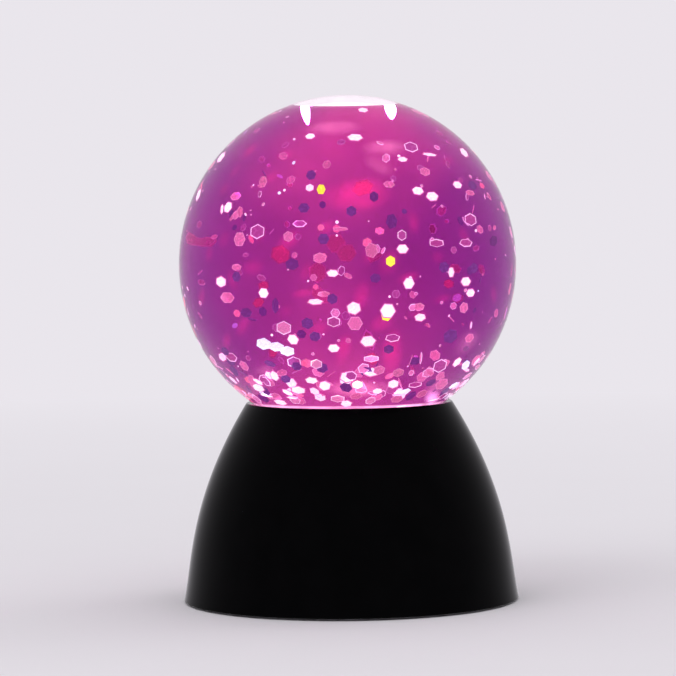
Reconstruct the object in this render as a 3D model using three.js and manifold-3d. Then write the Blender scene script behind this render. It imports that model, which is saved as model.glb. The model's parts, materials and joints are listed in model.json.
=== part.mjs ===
// Glitter lamp: a clear globe of liquid and glitter on a black, battery-powered base.
// Millimetres, +Z up. The origin is the point of the table under the middle of the base,
// the front faces -Y and the switch is at the back, on +Y.

import * as THREE from 'three';
import { mergeVertices } from 'three/addons/utils/BufferGeometryUtils.js';
import Module from 'manifold-3d';

const wasm = await Module();
wasm.setup();

const halfTurn = Math.PI;
const fullTurn = 2 * Math.PI;

// Sides of the round pieces, and the steps of the ball's curve from its bottom to its top
const ballSides = 36;
const plateSides = 24;
const pegSides = 12;
const cellSides = 16;
const ballSteps = 14;

// Fits and cuts
const clearance = 0.3; // between two pieces that touch, or that slide or turn in each other
const overrun = 5; // how far a cut runs past the piece that it cuts

// Feet
const padRadius = 4;
const padRecess = 0.8; // depth of the cover's pocket for a pad
const padBorder = 0.7; // from a pad's pocket to the battery door's opening
const padEdge = 1.8; // from a pad's edge to the cover's edge

// Housing: a tall curved shell, measured at its outside
const footInset = 0.2; // the foot is that much narrower than the globe
const footHeight = 0.6; // height of its lower edge
const housingWall = 2.2;
const flangeDrop = 0.48; // from the neck's upper end down to the underside of the globe's seat
const seatMouthRadius = 28.76; // radius of the globe where it enters the rim
const rimLand = 1.79; // from the globe's surface to the rim's outer edge
const seatHoleGap = 5; // from the neck's surface to the hole in the seat
const footSlopeShare = 0.22; // how fast the outline draws in at the foot, for each unit of height
const rimSlopeShare = 0.62; // and at the rim
const footHandleShare = 0.2; // length of the curve's handle at the foot, of the housing's height
const rimHandleShare = 0.48; // and at the rim
const housingSteps = 7;

// Globe
const globeRadius = 50;
const globeWall = 2;
const neckRadius = 17; // outside
const neckDrop = 5; // from the ball's lowest point down to the neck's end
const bubbleDepth = 3.3; // the air left above the liquid

// Liquid and glitter
const swirlRoomGap = 2.7; // round the impeller
const swirlRoomHead = 1; // above the impeller's pin
const flakeAcross = 3.2; // across the flats
const flakeThickness = 0.2;
const flakeSink = 0.9; // from the liquid's surface down to the top of a flake
// The directions of the flakes from the globe's centre: shares of a turn, and of the way up
const flakePlaceShares = [
  [0.745, 0.19], [0.69, 0.36], [0.81, 0.47], [0.61, 0.62], [0.9, 0.3], [0.06, 0.4], [0.37, 0.25],
];

// Battery cells and their bay
const cellCount = 3;
const cellRadius = 7.1;
const cellLength = 50.5; // with the button
const cellButtonRadius = 2.75;
const cellButtonLength = 1;
const cellSpace = 0.4; // between two cells
const cellSide = 0.6; // between the outer cells and the bay's wall
const contactRoom = 4.75; // at each end of the cells
const cellShift = 1.7; // how far each spring pushes its cell towards the other end
const bayWall = 1.6;
const bayRoof = 1.4;

// Contacts
const contactThickness = 0.5;
const contactWidth = 10;
const contactLift = 1; // from the bay's lower edge to the contact's lower edge
const contactHeight = 12;
const nubRadius = 2.5;
const springRadius = 3;
const springWire = 0.8; // thickness of the wire
const springTurns = 3;
const springSteps = 24;
const springSides = 5;
const tabWidth = 3;
const tabReach = 2.4; // how far a solder tab stands out of the bay
const tabDrop = 2.4; // from the contact's upper edge down to its tab

// Bottom cover and battery door
const coverLift = 1.2; // height of the cover's underside
const coverLap = 0.3; // how far the cover's plate rises past the door's ledge
const ledgeWidth = 2; // of the ledge that the door closes against
const collarThickness = 1.5;
const doorThickness = 1.8;
const doorTabHalfWidth = 4.5;
const doorTabReach = 7.5; // from the door's edge to the end of its tab
const doorScrewReach = 4; // from the door's edge to its screw
const doorScrewLength = 6; // with the head
const lugHalfWidth = 3;
const lugSpread = 14; // from the middle to each lug
const lugReach = 2.2;
const lugThickness = 0.8;
const lugRelief = 1; // how far a lug's slot runs back over the door, so that the door can tilt

// Screws
const screwRadius = 1.25; // of a thread
const screwHeadRadius = 2.5;
const screwHeadHeight = 0.9;
const screwBossWall = 1.7; // round a screw's hole
const coverScrewLength = 9;
const screwToPad = 3.2; // between a pad and the head of the cover's screw beside it
const bossHeight = 20.4; // of the housing's bosses for the cover's screws, above the cover
const bossRib = 1.6; // thickness of the rib behind a boss

// Slide switch
const switchRise = 10.4; // from the cover's upper face to the middle of the switch
const switchHalfWidth = 7;
const switchHalfHeight = 3.5;
const switchDepth = 6;
const knobHalfWidth = 2;
const knobHalfHeight = 1.75;
const knobTravel = 4;
const knobProud = 1; // past the plinth's face
const knobSeat = 1.7; // how deep the knob sits in the switch's body
const plinthProud = 0.2; // of the flat pad round the switch, past the housing at its lower edge
const plinthDepth = 0.6; // from the wall's inside, level with the switch's top, to the plinth's back
const plinthHalfWidth = 9;
const plinthHalfHeight = 5;
const windowGap = 0.5; // round the knob

// Motor
const motorGap = 0.6; // over the battery bay
const motorRadius = 12.2;
const endCapThickness = 1.2;
const motorHeight = 10; // of the can
const motorWall = 1;
const motorBossRadius = 3;
const motorBossHeight = 1.3;
const magnetRingThickness = 1.5;
const magnetRingSlack = 1; // from the ring's ends to the can's
const armatureRadius = 8;
const armatureSlack = 1.7; // from the armature to the can's ends
const poleCount = 3;
const poleThickness = 1.3; // of a pole's curved shoe
const poleGap = 2.4; // between two shoes
const windingWidth = 5;
const windingMargin = 0.5; // the winding is that much lower than the iron at each end
const shaftRadius = 1;
const motorScrewRing = 6.5;
const motorScrewRadius = 1;
const motorScrewHeadRadius = 1.9;
const motorScrewBite = 0.8; // into the can

// Motor plate and its posts
const plateThickness = 2;
const plateBorder = 1.2; // outside the posts
const postRadius = 3;
const postGap = 0.5; // between a post and the ring nut
const plateScrewLength = 10;
const pillarRadius = 2.2;
const pillarEdge = 2.65; // from a pillar's middle to the board's edge
const pinRadius = 1;
const pinProud = 0.6; // past the board
const wireHoleRing = 23.5;
const wireHoleRadius = 1.6;

// Light board
const boardThickness = 1.2;
const boardBorder = 0.5; // inside the light-emitting diodes
const boardOuterBorder = 7.5; // outside their middles
const ledRadius = 2.5;
const ledFlange = 0.4; // how far an LED's foot stands out
const ledFlangeHeight = 0.8;
const ledBodyHeight = 2.4; // with the foot, below the dome
const ledLightGap = 0.4; // from an LED's top to the plug
const chipHalfLength = 2.5;
const chipHalfWidth = 2;
const chipHeight = 1.5;
const chipEdge = 4.95; // from the chip's middle to the board's edge

// Plug, seal and ring nut of the globe's neck
const plugFlange = 1.5;
const sealThickness = 1;
const sealWidth = 2.1;
const plugRise = 4.5; // of the plug's top, above the neck's end
const plugWeb = 2; // between the dry and the wet magnets
const plugWall = 4.5; // round the recess for the magnet carrier
const carrierRunGap = 0.8; // round the magnet carrier
const nutLap = 3.5; // how far the nut reaches under the flange, past the seat's hole
const nutThickness = 4.7;
const nutNotchCount = 6;
const nutNotchHalfWidth = 2;
const nutNotchDepth = 1.5;

// Magnetic drive
const carrierThickness = 4;
const carrierGap = 0.5; // under the plug's web
const magnetRimWall = 0.6; // from a magnet's pocket to the carrier's edge
const magnetHubWall = 1.9; // from a magnet's pocket to the shaft's hole
const driveMagnetHeight = 2.5;
const impellerGap = 0.5; // over the plug
const impellerRunGap = 4.5; // from the impeller's edge to the neck's bore
const impellerDisc = 2.4;
const impellerHubRadius = 3;
const bladeCount = 6;
const bladeHeight = 5.1;
const bladeThickness = 1;
const bladeMargin = 0.3; // from a blade's end to the disc's edge
const impellerMagnetLess = 0.3; // a magnet's radius is that much less than in the carrier
const impellerMagnetHeight = 1.4;
const axleRadius = 1;
const axleSeat = 0.9; // how deep the impeller's pin sits in the plug
const axleProud = 0.5; // past the impeller's blades

// Wires
const leadRadius = 0.6;
const leadSides = 6;
const leadSteps = 12;

// Heights, worked out from the table up
const coverTop = coverLift + doorThickness + clearance + coverLap;
const doorTop = coverLift + doorThickness;
const ledgeHeight = doorTop + clearance;
const collarTop = ledgeHeight + collarThickness;
const cellHeight = ledgeHeight + cellRadius;
const bayCeiling = cellHeight + cellRadius + clearance;
const bayTop = bayCeiling + bayRoof;
const motorBottom = bayTop + motorGap;
const canBottom = motorBottom + endCapThickness + clearance;
const canTop = canBottom + motorHeight;
const plateBottom = canTop + clearance;
const plateTop = plateBottom + plateThickness;
const pillarTop = plateTop + clearance + screwHeadHeight;
const boardBottom = pillarTop + clearance;
const boardTop = boardBottom + boardThickness;
const ledBottom = boardTop + clearance;
const ledHeight = ledBodyHeight + ledRadius;
const plugBottom = ledBottom + ledHeight + ledLightGap;
const plugFlangeTop = plugBottom + plugFlange;
const sealBottom = plugFlangeTop + clearance;
const neckBottom = sealBottom + sealThickness + clearance;
const globeCentre = neckBottom + neckDrop + globeRadius;
const globeTop = globeCentre + globeRadius;
const plugTop = neckBottom + plugRise;
const recessTop = plugTop - plugWeb;
const carrierTop = recessTop - carrierGap;
const carrierBottom = carrierTop - carrierThickness;
const impellerBottom = plugTop + impellerGap;
const impellerTop = impellerBottom + impellerDisc + bladeHeight;
const axleTop = impellerTop + axleProud;
const rimHeight = globeCentre - Math.sqrt(globeRadius ** 2 - seatMouthRadius ** 2);
const neckTop = globeCentre - Math.sqrt(globeRadius ** 2 - neckRadius ** 2);
const flangeHeight = neckTop - flangeDrop;
const switchHeight = coverTop + switchRise;

// Places and radii, worked out from the axis out
const footRadius = globeRadius - footInset;
const rimRadius = seatMouthRadius + rimLand;
const neckBore = neckRadius - globeWall;
const seatHoleRadius = neckRadius + seatHoleGap;
const nutRadius = seatHoleRadius + nutLap;
const postRing = nutRadius + postGap + postRadius;
const plateRadius = postRing + postRadius + plateBorder;
const plugRadius = neckBore - clearance;
const recessRadius = plugRadius - plugWall;
const carrierRadius = recessRadius - carrierRunGap;
const magnetRoom = carrierRadius - magnetRimWall - magnetHubWall - shaftRadius - clearance;
const driveMagnetRadius = magnetRoom / 2 - clearance;
const magnetRing = carrierRadius - magnetRimWall - magnetRoom / 2; // from the axis to each magnet
const impellerMagnetRadius = driveMagnetRadius - impellerMagnetLess;
const impellerRadius = neckBore - impellerRunGap;
const ledRing = (recessRadius + plugRadius) / 2;
const boardHole = ledRing - ledRadius - ledFlange - boardBorder;
const boardRadius = ledRing + boardOuterBorder;
const pillarRing = boardRadius - pillarEdge;
const chipRing = boardRadius - chipEdge;
const liquidRadius = globeRadius - globeWall - clearance;
const swirlRoomRadius = impellerRadius + swirlRoomGap;
const cellPitch = 2 * cellRadius + cellSpace;
const bayHalfWidth = cellPitch * (cellCount - 1) / 2 + cellRadius + cellSide;
const bayHalfLength = cellLength / 2 + contactRoom;
const openingHalfWidth = bayHalfWidth + ledgeWidth + clearance;
const openingHalfLength = bayHalfLength + ledgeWidth + clearance;
const doorHalfWidth = openingHalfWidth - clearance;
const doorHalfLength = openingHalfLength - clearance;
const doorScrewPlace = doorHalfLength + doorScrewReach;
const contactOuter = bayHalfLength - clearance;
const contactInner = contactOuter - contactThickness;
const contactBottom = ledgeHeight + contactLift;
const tabHeight = contactBottom + contactHeight - tabDrop;
const tabEnd = bayHalfLength + bayWall + tabReach;

// Colours, roughness and metalness
const look = (color, roughness, metalness = 0, opacity = 1) => new THREE.MeshStandardMaterial({
  color, roughness, metalness, opacity, transparent: opacity < 1,
});
const glossBlack = look(0x050506, 0.12);
const clearGlass = look(0xf0e0f2, 0.03, 0, 0.3);
const pinkLiquid = look(0xd83a9c, 0.05, 0, 0.5);
const glitterFoil = look(0xf4a6cc, 0.15, 0.9);
const clearPlastic = look(0xe6e6ea, 0.1, 0, 0.5);
const blackPlastic = look(0x141416, 0.45);
const whitePlastic = look(0xd8d8d4, 0.4);
const rubber = look(0x1b1b1c, 0.9);
const steel = look(0xb4b6ba, 0.3, 1);
const nickel = look(0xc8c8c4, 0.2, 1);
const magnetMetal = look(0x8e9094, 0.35, 1);
const ferrite = look(0x2c2a2c, 0.7);
const winding = look(0xa6552a, 0.35, 0.8);
const cellJacket = look(0x2a5a86, 0.3, 0.4);
const boardGreen = look(0x1d5a3a, 0.5);
const chipBlack = look(0x101012, 0.6);
const ledLens = { red: look(0xe02828, 0.1), green: look(0x28c850, 0.1), blue: look(0x3058f0, 0.1) };
const wireRed = look(0xb02020, 0.5);
const wireBlack = look(0x161616, 0.5);
const wireWhite = look(0xd0d0cc, 0.5);

// The solid inside a closed surface. Its doubled points are merged first, and the faces that
// this folds flat are left out.
function solidOf(geometry) {
  const bare = geometry.clone();
  bare.deleteAttribute('normal');
  bare.deleteAttribute('uv');
  const merged = mergeVertices(bare);
  const corners = merged.index.array;
  const faces = [];
  for (let i = 0; i < corners.length; i += 3) {
    const [a, b, c] = [corners[i], corners[i + 1], corners[i + 2]];
    if (a !== b && b !== c && c !== a) faces.push(a, b, c);
  }
  return new wasm.Manifold(new wasm.Mesh({
    numProp: 3,
    vertProperties: Float32Array.from(merged.attributes.position.array),
    triVerts: Uint32Array.from(faces),
  }));
}

function surfaceOf(solid) {
  const { vertProperties, triVerts } = solid.getMesh();
  const geometry = new THREE.BufferGeometry();
  geometry.setAttribute('position', new THREE.BufferAttribute(vertProperties, 3));
  geometry.setIndex(new THREE.BufferAttribute(triVerts, 1));
  geometry.computeVertexNormals();
  return geometry;
}

const joined = (solids) => solids.reduce((sum, solid) => sum.add(solid));
const cutBy = (solid, cutters) => cutters.reduce((rest, cutter) => rest.subtract(cutter), solid);

// A profile of [radius, height] points, turned about the axis. It runs up the outside and down
// the inside. One that doesn't start on the axis is a loop and comes back to its first point.
function turned(profile, sides) {
  const loop = profile[0][0] > 0 ? [...profile, profile[0]] : profile;
  const geometry = new THREE.LatheGeometry(loop.map(([r, z]) => new THREE.Vector2(r, z)), sides);
  geometry.rotateX(halfTurn / 2);
  return solidOf(geometry);
}

// An upright cylinder, from one height to another, with its axis at [x, y].
function peg(radius, [bottom, top], [x, y] = [0, 0], sides = pegSides) {
  const geometry = new THREE.CylinderGeometry(radius, radius, top - bottom, sides);
  geometry.rotateX(halfTurn / 2);
  geometry.translate(x, y, (bottom + top) / 2);
  return solidOf(geometry);
}

// A ring between two radii.
function ring(inner, outer, [bottom, top], sides = plateSides) {
  return turned([[inner, bottom], [outer, bottom], [outer, top], [inner, top]], sides);
}

// A box between two values of x, of y and of z.
function box([left, right], [near, far], [bottom, top]) {
  const geometry = new THREE.BoxGeometry(right - left, far - near, top - bottom);
  geometry.translate((left + right) / 2, (near + far) / 2, (bottom + top) / 2);
  return solidOf(geometry);
}

// A box that reaches as far on both sides of the middle plane x = 0.
const middleBox = (halfWidth, depths, heights) => box([-halfWidth, halfWidth], depths, heights);

// A flat plate with a straight-sided outline of [x, y] points.
function slab(points, [bottom, top]) {
  const shape = new THREE.Shape(points.map(([x, y]) => new THREE.Vector2(x, y)));
  const geometry = new THREE.ExtrudeGeometry(shape, { depth: top - bottom, bevelEnabled: false });
  geometry.translate(0, 0, bottom);
  return solidOf(geometry);
}

// A round bar along a curve.
function bar(curve, radius, steps, sides) {
  const section = Array.from({ length: sides }, (_, i) => {
    const angle = fullTurn * i / sides;
    return new THREE.Vector2(radius * Math.cos(angle), radius * Math.sin(angle));
  });
  return solidOf(new THREE.ExtrudeGeometry(new THREE.Shape(section), { extrudePath: curve, steps }));
}

// The places of the copies of a pattern round the axis.
function roundPlaces(count, ringRadius, firstAngle) {
  return Array.from({ length: count }, (_, i) => {
    const angle = firstAngle + fullTurn * i / count;
    return { x: ringRadius * Math.cos(angle), y: ringRadius * Math.sin(angle), angle };
  });
}

// The solid turned about the axis.
function turnedBy(solid, angle) {
  const geometry = surfaceOf(solid);
  geometry.rotateZ(angle);
  return solidOf(geometry);
}

// Points of a ball's outline, as angles up from its lowest point. All balls here share the same
// rings, so that their flat faces stay parallel.
function ballArc(radius, from, to) {
  const step = halfTurn / ballSteps;
  const rings = Array.from({ length: ballSteps - 1 }, (_, i) => (i + 1) * step);
  const inner = rings.filter((angle) => angle > from + step / 9 && angle < to - step / 9);
  return [from, ...inner, to].map((angle) => {
    const onAxis = angle === 0 || angle === halfTurn;
    return [onAxis ? 0 : radius * Math.sin(angle), globeCentre - radius * Math.cos(angle)];
  });
}

// A screw that points up, with its head's underside at height 0.
function screw(threadRadius, headRadius, headHeight, length) {
  return turned([
    [0, -headHeight], [headRadius, -headHeight], [headRadius, 0], [threadRadius, 0],
    [threadRadius, length - headHeight], [0, length - headHeight],
  ], pegSides);
}

const lamp = new THREE.Group();
lamp.name = 'glitter_lamp';

function section(name) {
  const group = new THREE.Group();
  group.name = name;
  lamp.add(group);
  return group;
}

function place(group, name, geometry, material, [x, y, z] = [0, 0, 0]) {
  const mesh = new THREE.Mesh(geometry, material);
  mesh.name = name;
  mesh.position.set(x, y, z);
  group.add(mesh);
  return mesh;
}

// Housing

const housingHeight = rimHeight - footHeight;
const footHandle = footHandleShare * housingHeight;
const rimHandle = rimHandleShare * housingHeight;
const housingCurve = new THREE.CubicBezierCurve(
  new THREE.Vector2(footRadius, footHeight),
  new THREE.Vector2(footRadius - footSlopeShare * footHandle, footHeight + footHandle),
  new THREE.Vector2(rimRadius + rimSlopeShare * rimHandle, rimHeight - rimHandle),
  new THREE.Vector2(rimRadius, rimHeight),
);

// The share of the curve at which it reaches a height, found by halving.
function shareAtHeight(height) {
  let [low, high] = [0, 1];
  for (let i = 0; i < 40; i += 1) {
    const middle = (low + high) / 2;
    if (housingCurve.getPoint(middle).y < height) low = middle;
    else high = middle;
  }
  return (low + high) / 2;
}

const outerRadiusAt = (height) => housingCurve.getPoint(shareAtHeight(height)).x;

function innerRadiusAt(height) {
  const share = shareAtHeight(height);
  const tangent = housingCurve.getTangent(share);
  return housingCurve.getPoint(share).x - housingWall / tangent.y;
}

const heightSteps = (from, to, count) => Array.from(
  { length: count + 1 },
  (_, i) => from + (to - from) * i / count,
);

const coverRadius = innerRadiusAt(coverTop) - clearance;
const postPlaces = roundPlaces(3, postRing, -halfTurn / 2);
const plinthFace = outerRadiusAt(switchHeight - plinthHalfHeight) + plinthProud;
const plinthBack = innerRadiusAt(switchHeight + switchHalfHeight) - plinthDepth;
const switchFront = plinthBack - clearance;
const switchBack = switchFront - switchDepth;
const windowHalfWidth = knobTravel / 2 + knobHalfWidth + windowGap;
const screwHole = screwRadius + clearance;
const bossRadius = screwHole + screwBossWall;

// The whole outer form, filled to the axis.
function housingBody() {
  const outline = heightSteps(footHeight, rimHeight, housingSteps)
    .map((height) => [outerRadiusAt(height), height]);
  return turned([[0, footHeight], ...outline, [0, rimHeight]], ballSides);
}

function housingHollow() {
  const outline = heightSteps(footHeight, flangeHeight, housingSteps)
    .map((height) => [innerRadiusAt(height), height]);
  const mouth = [outline[0][0], footHeight - overrun];
  return turned([[0, mouth[1]], mouth, ...outline, [0, flangeHeight]], ballSides);
}

// The space of the globe, a clearance larger than the ball.
function seatCut() {
  return turned(ballArc(globeRadius + clearance, 0, halfTurn), ballSides);
}

// A boss for a screw of the cover, with a rib that ties it to the wall.
function coverBoss({ x, y, angle }, body) {
  const heights = [coverTop + clearance, coverTop + bossHeight];
  const rib = turnedBy(box([Math.hypot(x, y), footRadius], [-bossRib / 2, bossRib / 2], heights), angle);
  return peg(bossRadius, heights, [x, y]).add(rib).intersect(body);
}

// A post for the motor plate, hanging from the flange.
function platePost({ x, y }) {
  return peg(postRadius, [plateTop + clearance, flangeHeight + clearance], [x, y]);
}

function housing() {
  const body = housingBody();
  const hollow = housingHollow();
  const plinth = middleBox(
    plinthHalfWidth,
    [plinthBack, plinthFace],
    [switchHeight - plinthHalfHeight, switchHeight + plinthHalfHeight],
  );
  const opening = middleBox(
    windowHalfWidth,
    [switchFront - overrun, plinthFace + overrun],
    [switchHeight - knobHalfHeight - windowGap, switchHeight + knobHalfHeight + windowGap],
  );
  const coverHoles = coverScrewPlaces.map(({ x, y }) => peg(
    screwHole,
    [coverTop, coverLift + coverScrewLength + clearance],
    [x, y],
  ));
  const plateHoles = postPlaces.map(({ x, y }) => peg(
    screwHole,
    [plateTop, plateBottom - clearance - screwHeadHeight + plateScrewLength + clearance],
    [x, y],
  ));
  const hole = peg(seatHoleRadius, [flangeHeight - overrun, rimHeight], [0, 0], ballSides);
  const shell = cutBy(body, [hollow, seatCut(), hole]);
  const solid = joined([
    shell, plinth,
    ...coverScrewPlaces.map((spot) => coverBoss(spot, body)),
    ...postPlaces.map(platePost),
  ]);
  return cutBy(solid, [opening, ...coverHoles, ...plateHoles]);
}

// Bottom cover with its battery bay

const padHeight = coverLift + padRecess - clearance;
const padX = openingHalfWidth + padRadius + clearance + padBorder;
const padReach = coverRadius - padEdge - padRadius;
const padY = Math.sqrt(padReach ** 2 - padX ** 2);
const padPlaces = [[-padX, -padY], [padX, -padY], [padX, padY], [-padX, padY]];

// The cover's screws: one at the front and one beside each rear pad, midway between the end of
// the door's collar and the cover's edge
const coverScrewRing = (openingHalfLength + ledgeWidth + coverRadius) / 2;
const screwPadStep = padRadius + screwHeadRadius + screwToPad;
const sideScrewAngle = Math.acos(padX / padReach) - 2 * Math.asin(screwPadStep / (2 * coverScrewRing));
const coverScrewAngles = [-halfTurn / 2, sideScrewAngle, halfTurn - sideScrewAngle];
const coverScrewPlaces = coverScrewAngles.map((angle) => ({
  x: coverScrewRing * Math.cos(angle),
  y: coverScrewRing * Math.sin(angle),
  angle,
}));
const headSinkRadius = screwHeadRadius + clearance;
const headSinkHeights = [coverLift - overrun, coverLift + screwHeadHeight + clearance];
const cellXs = Array.from({ length: cellCount }, (_, i) => (i - (cellCount - 1) / 2) * cellPitch);

// An upright rectangle on the middle of the base, with a tongue at the back for the door's tab.
function doorOutline(grow) {
  const [x, y] = [doorHalfWidth + grow, doorHalfLength + grow];
  const [tabX, tabY] = [doorTabHalfWidth + grow, doorHalfLength + doorTabReach + grow];
  return [[-x, -y], [x, -y], [x, y], [tabX, y], [tabX, tabY], [-tabX, tabY], [-tabX, y], [-x, y]];
}

const bayOutline = (grow) => {
  const [x, y] = [bayHalfWidth + grow, bayHalfLength + grow];
  return [[-x, -y], [x, -y], [x, y], [-x, y]];
};

function lug(side, grow, back, heights) {
  const middle = side * lugSpread;
  return box(
    [middle - lugHalfWidth - grow, middle + lugHalfWidth + grow],
    [-doorHalfLength - lugReach - grow, -doorHalfLength + back],
    heights,
  );
}

function bottomCover() {
  const disc = peg(coverRadius, [coverLift, coverTop], [0, 0], ballSides);
  const opening = slab(doorOutline(clearance), [coverLift - overrun, ledgeHeight]);
  const collar = slab(doorOutline(clearance + ledgeWidth), [ledgeHeight, collarTop])
    .intersect(peg(coverRadius, [ledgeHeight, collarTop], [0, 0], ballSides));
  const walls = slab(bayOutline(bayWall), [ledgeHeight, bayTop]);
  const inside = slab(bayOutline(0), [coverLift, bayCeiling]);
  const doorScrewTop = coverLift + doorScrewLength + clearance;
  const boss = peg(bossRadius + clearance, [ledgeHeight, doorScrewTop + bayRoof], [0, doorScrewPlace]);
  const bossHole = peg(screwHole + clearance, [coverLift, doorScrewTop], [0, doorScrewPlace]);
  const screwHoles = coverScrewPlaces.flatMap(({ x, y }) => [
    peg(screwHole, [coverLift - overrun, coverTop + overrun], [x, y]),
    peg(headSinkRadius, headSinkHeights, [x, y]),
  ]);
  const padPockets = padPlaces.map((spot) => peg(
    padRadius + clearance,
    [coverLift - overrun, coverLift + padRecess],
    spot,
    plateSides,
  ));
  const lugSlots = [-1, 1].map((side) => lug(
    side,
    clearance,
    lugRelief,
    [doorTop - lugThickness - clearance, collarTop + clearance],
  ));
  const tabSlots = [[cellXs[2], 1], [cellXs[0], -1]].map(([x, end]) => contactTab(x, end, clearance));
  const solid = joined([cutBy(disc, [opening]), collar, walls, boss]);
  return cutBy(solid, [inside, bossHole, ...screwHoles, ...padPockets, ...lugSlots, ...tabSlots]);
}

function batteryDoor() {
  const panel = slab(doorOutline(0), [coverLift, doorTop]);
  const lugs = [-1, 1].map((side) => lug(side, 0, lugRelief, [doorTop - lugThickness, doorTop]));
  const hole = peg(screwHole, [coverLift - overrun, doorTop + overrun], [0, doorScrewPlace]);
  const sink = peg(headSinkRadius, headSinkHeights, [0, doorScrewPlace]);
  return cutBy(joined([panel, ...lugs]), [hole, sink]);
}

// Battery cell, lying along Y with its button towards +Y.
function cellSurface() {
  const half = cellLength / 2;
  const shoulder = half - cellButtonLength;
  const solid = turned([
    [0, -half], [cellRadius, -half], [cellRadius, shoulder],
    [cellButtonRadius, shoulder], [cellButtonRadius, half], [0, half],
  ], cellSides);
  const geometry = surfaceOf(solid);
  geometry.rotateX(-halfTurn / 2);
  return geometry;
}

// Contacts: plates at the ends of the bay, end being 1 at the back and -1 at the front.

const between = (a, b) => [Math.min(a, b), Math.max(a, b)];

function contactPlate(xs, end) {
  return box(
    [Math.min(...xs) - contactWidth / 2, Math.max(...xs) + contactWidth / 2],
    between(end * contactInner, end * contactOuter),
    [contactBottom, contactBottom + contactHeight],
  );
}

// The raised button that meets a cell's positive end.
function contactNub(x, end) {
  const tip = cellLength / 2 + cellShift + clearance;
  const geometry = new THREE.CylinderGeometry(nubRadius, nubRadius, contactOuter - tip, pegSides);
  geometry.translate(x, end * (contactOuter + tip) / 2, cellHeight);
  return solidOf(geometry);
}

class SpringCurve extends THREE.Curve {
  constructor(x, end) {
    super();
    this.x = x;
    this.end = end;
  }

  getPoint(share, target = new THREE.Vector3()) {
    const tip = cellLength / 2 - cellShift + clearance + springWire / 2;
    const angle = fullTurn * springTurns * share;
    return target.set(
      this.x + springRadius * Math.cos(angle),
      this.end * (contactInner + (tip - contactInner) * share),
      cellHeight + springRadius * Math.sin(angle),
    );
  }
}

const contactSpring = (x, end) => bar(
  new SpringCurve(x, end),
  springWire / 2,
  springSteps,
  springSides,
);

// The tab that leads through the bay's wall to a wire, or its slot.
function contactTab(x, end, grow) {
  return box(
    [x - tabWidth / 2 - grow, x + tabWidth / 2 + grow],
    between(end * contactInner, end * (tabEnd + grow)),
    [tabHeight - contactThickness / 2 - grow, tabHeight + contactThickness / 2 + grow],
  );
}

// Slide switch

function switchBody() {
  const heights = [switchHeight - switchHalfHeight, switchHeight + switchHalfHeight];
  const body = middleBox(switchHalfWidth, [switchBack, switchFront], heights);
  const slot = middleBox(
    windowHalfWidth,
    [switchFront - knobSeat - clearance, switchFront + overrun],
    [switchHeight - knobHalfHeight - clearance, switchHeight + knobHalfHeight + clearance],
  );
  return cutBy(body, [slot]);
}

function switchKnob() {
  return box(
    [knobTravel / 2 - knobHalfWidth, knobTravel / 2 + knobHalfWidth],
    [switchFront - knobSeat, plinthFace + knobProud],
    [switchHeight - knobHalfHeight, switchHeight + knobHalfHeight],
  );
}

// Motor

const motorInner = motorRadius - motorWall;
const shaftHole = shaftRadius + clearance;
const motorScrewPlaces = roundPlaces(2, motorScrewRing, 0);
const motorScrewTop = canTop - motorScrewBite;

function motorCan() {
  const bossTop = canTop + motorBossHeight;
  const ceiling = canTop - motorWall;
  const can = turned([
    [motorInner, canBottom], [motorRadius, canBottom], [motorRadius, canTop],
    [motorBossRadius, canTop], [motorBossRadius, bossTop], [shaftHole, bossTop],
    [shaftHole, ceiling], [motorInner, ceiling],
  ], plateSides);
  return cutBy(can, motorScrewPlaces.map(({ x, y }) => peg(
    motorScrewRadius + clearance,
    [canTop - overrun, canTop + overrun],
    [x, y],
  )));
}

function motorEndCap() {
  const cap = peg(motorRadius, [motorBottom, motorBottom + endCapThickness], [0, 0], plateSides);
  return cutBy(cap, [peg(shaftHole, [motorBottom + clearance, canBottom], [0, 0])]);
}

function motorMagnetRing() {
  const outer = motorInner - clearance;
  return ring(
    outer - magnetRingThickness,
    outer,
    [canBottom + magnetRingSlack, canTop - motorWall - magnetRingSlack],
  );
}

// Three poles on a hub. The gaps between their shoes lie between the arms.
function motorArmature() {
  const heights = [canBottom + armatureSlack, canTop - motorWall - armatureSlack];
  const shoes = ring(armatureRadius - poleThickness, armatureRadius, heights);
  const arm = box(
    [0, armatureRadius - poleThickness / 2],
    [-windingWidth / 2, windingWidth / 2],
    [heights[0] + windingMargin, heights[1] - windingMargin],
  );
  const gap = box(
    [armatureRadius / 2, armatureRadius + overrun],
    [-poleGap / 2, poleGap / 2],
    [heights[0] - overrun, heights[1] + overrun],
  );
  const poles = roundPlaces(poleCount, armatureRadius, 0);
  const solid = joined([shoes, ...poles.map(({ angle }) => turnedBy(arm, angle))]);
  const halfPole = halfTurn / poleCount;
  const bore = peg(shaftHole, [heights[0] - overrun, heights[1] + overrun]);
  return cutBy(solid, [bore, ...poles.map(({ angle }) => turnedBy(gap, angle + halfPole))]);
}

function motorShaft() {
  return peg(shaftRadius, [motorBottom + 2 * clearance, shaftTop]);
}

// Motor plate, with pins for the board

const pillarPlaces = roundPlaces(3, pillarRing, -halfTurn / 2);
const wireHolePlaces = roundPlaces(2, wireHoleRing, 0);

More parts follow.
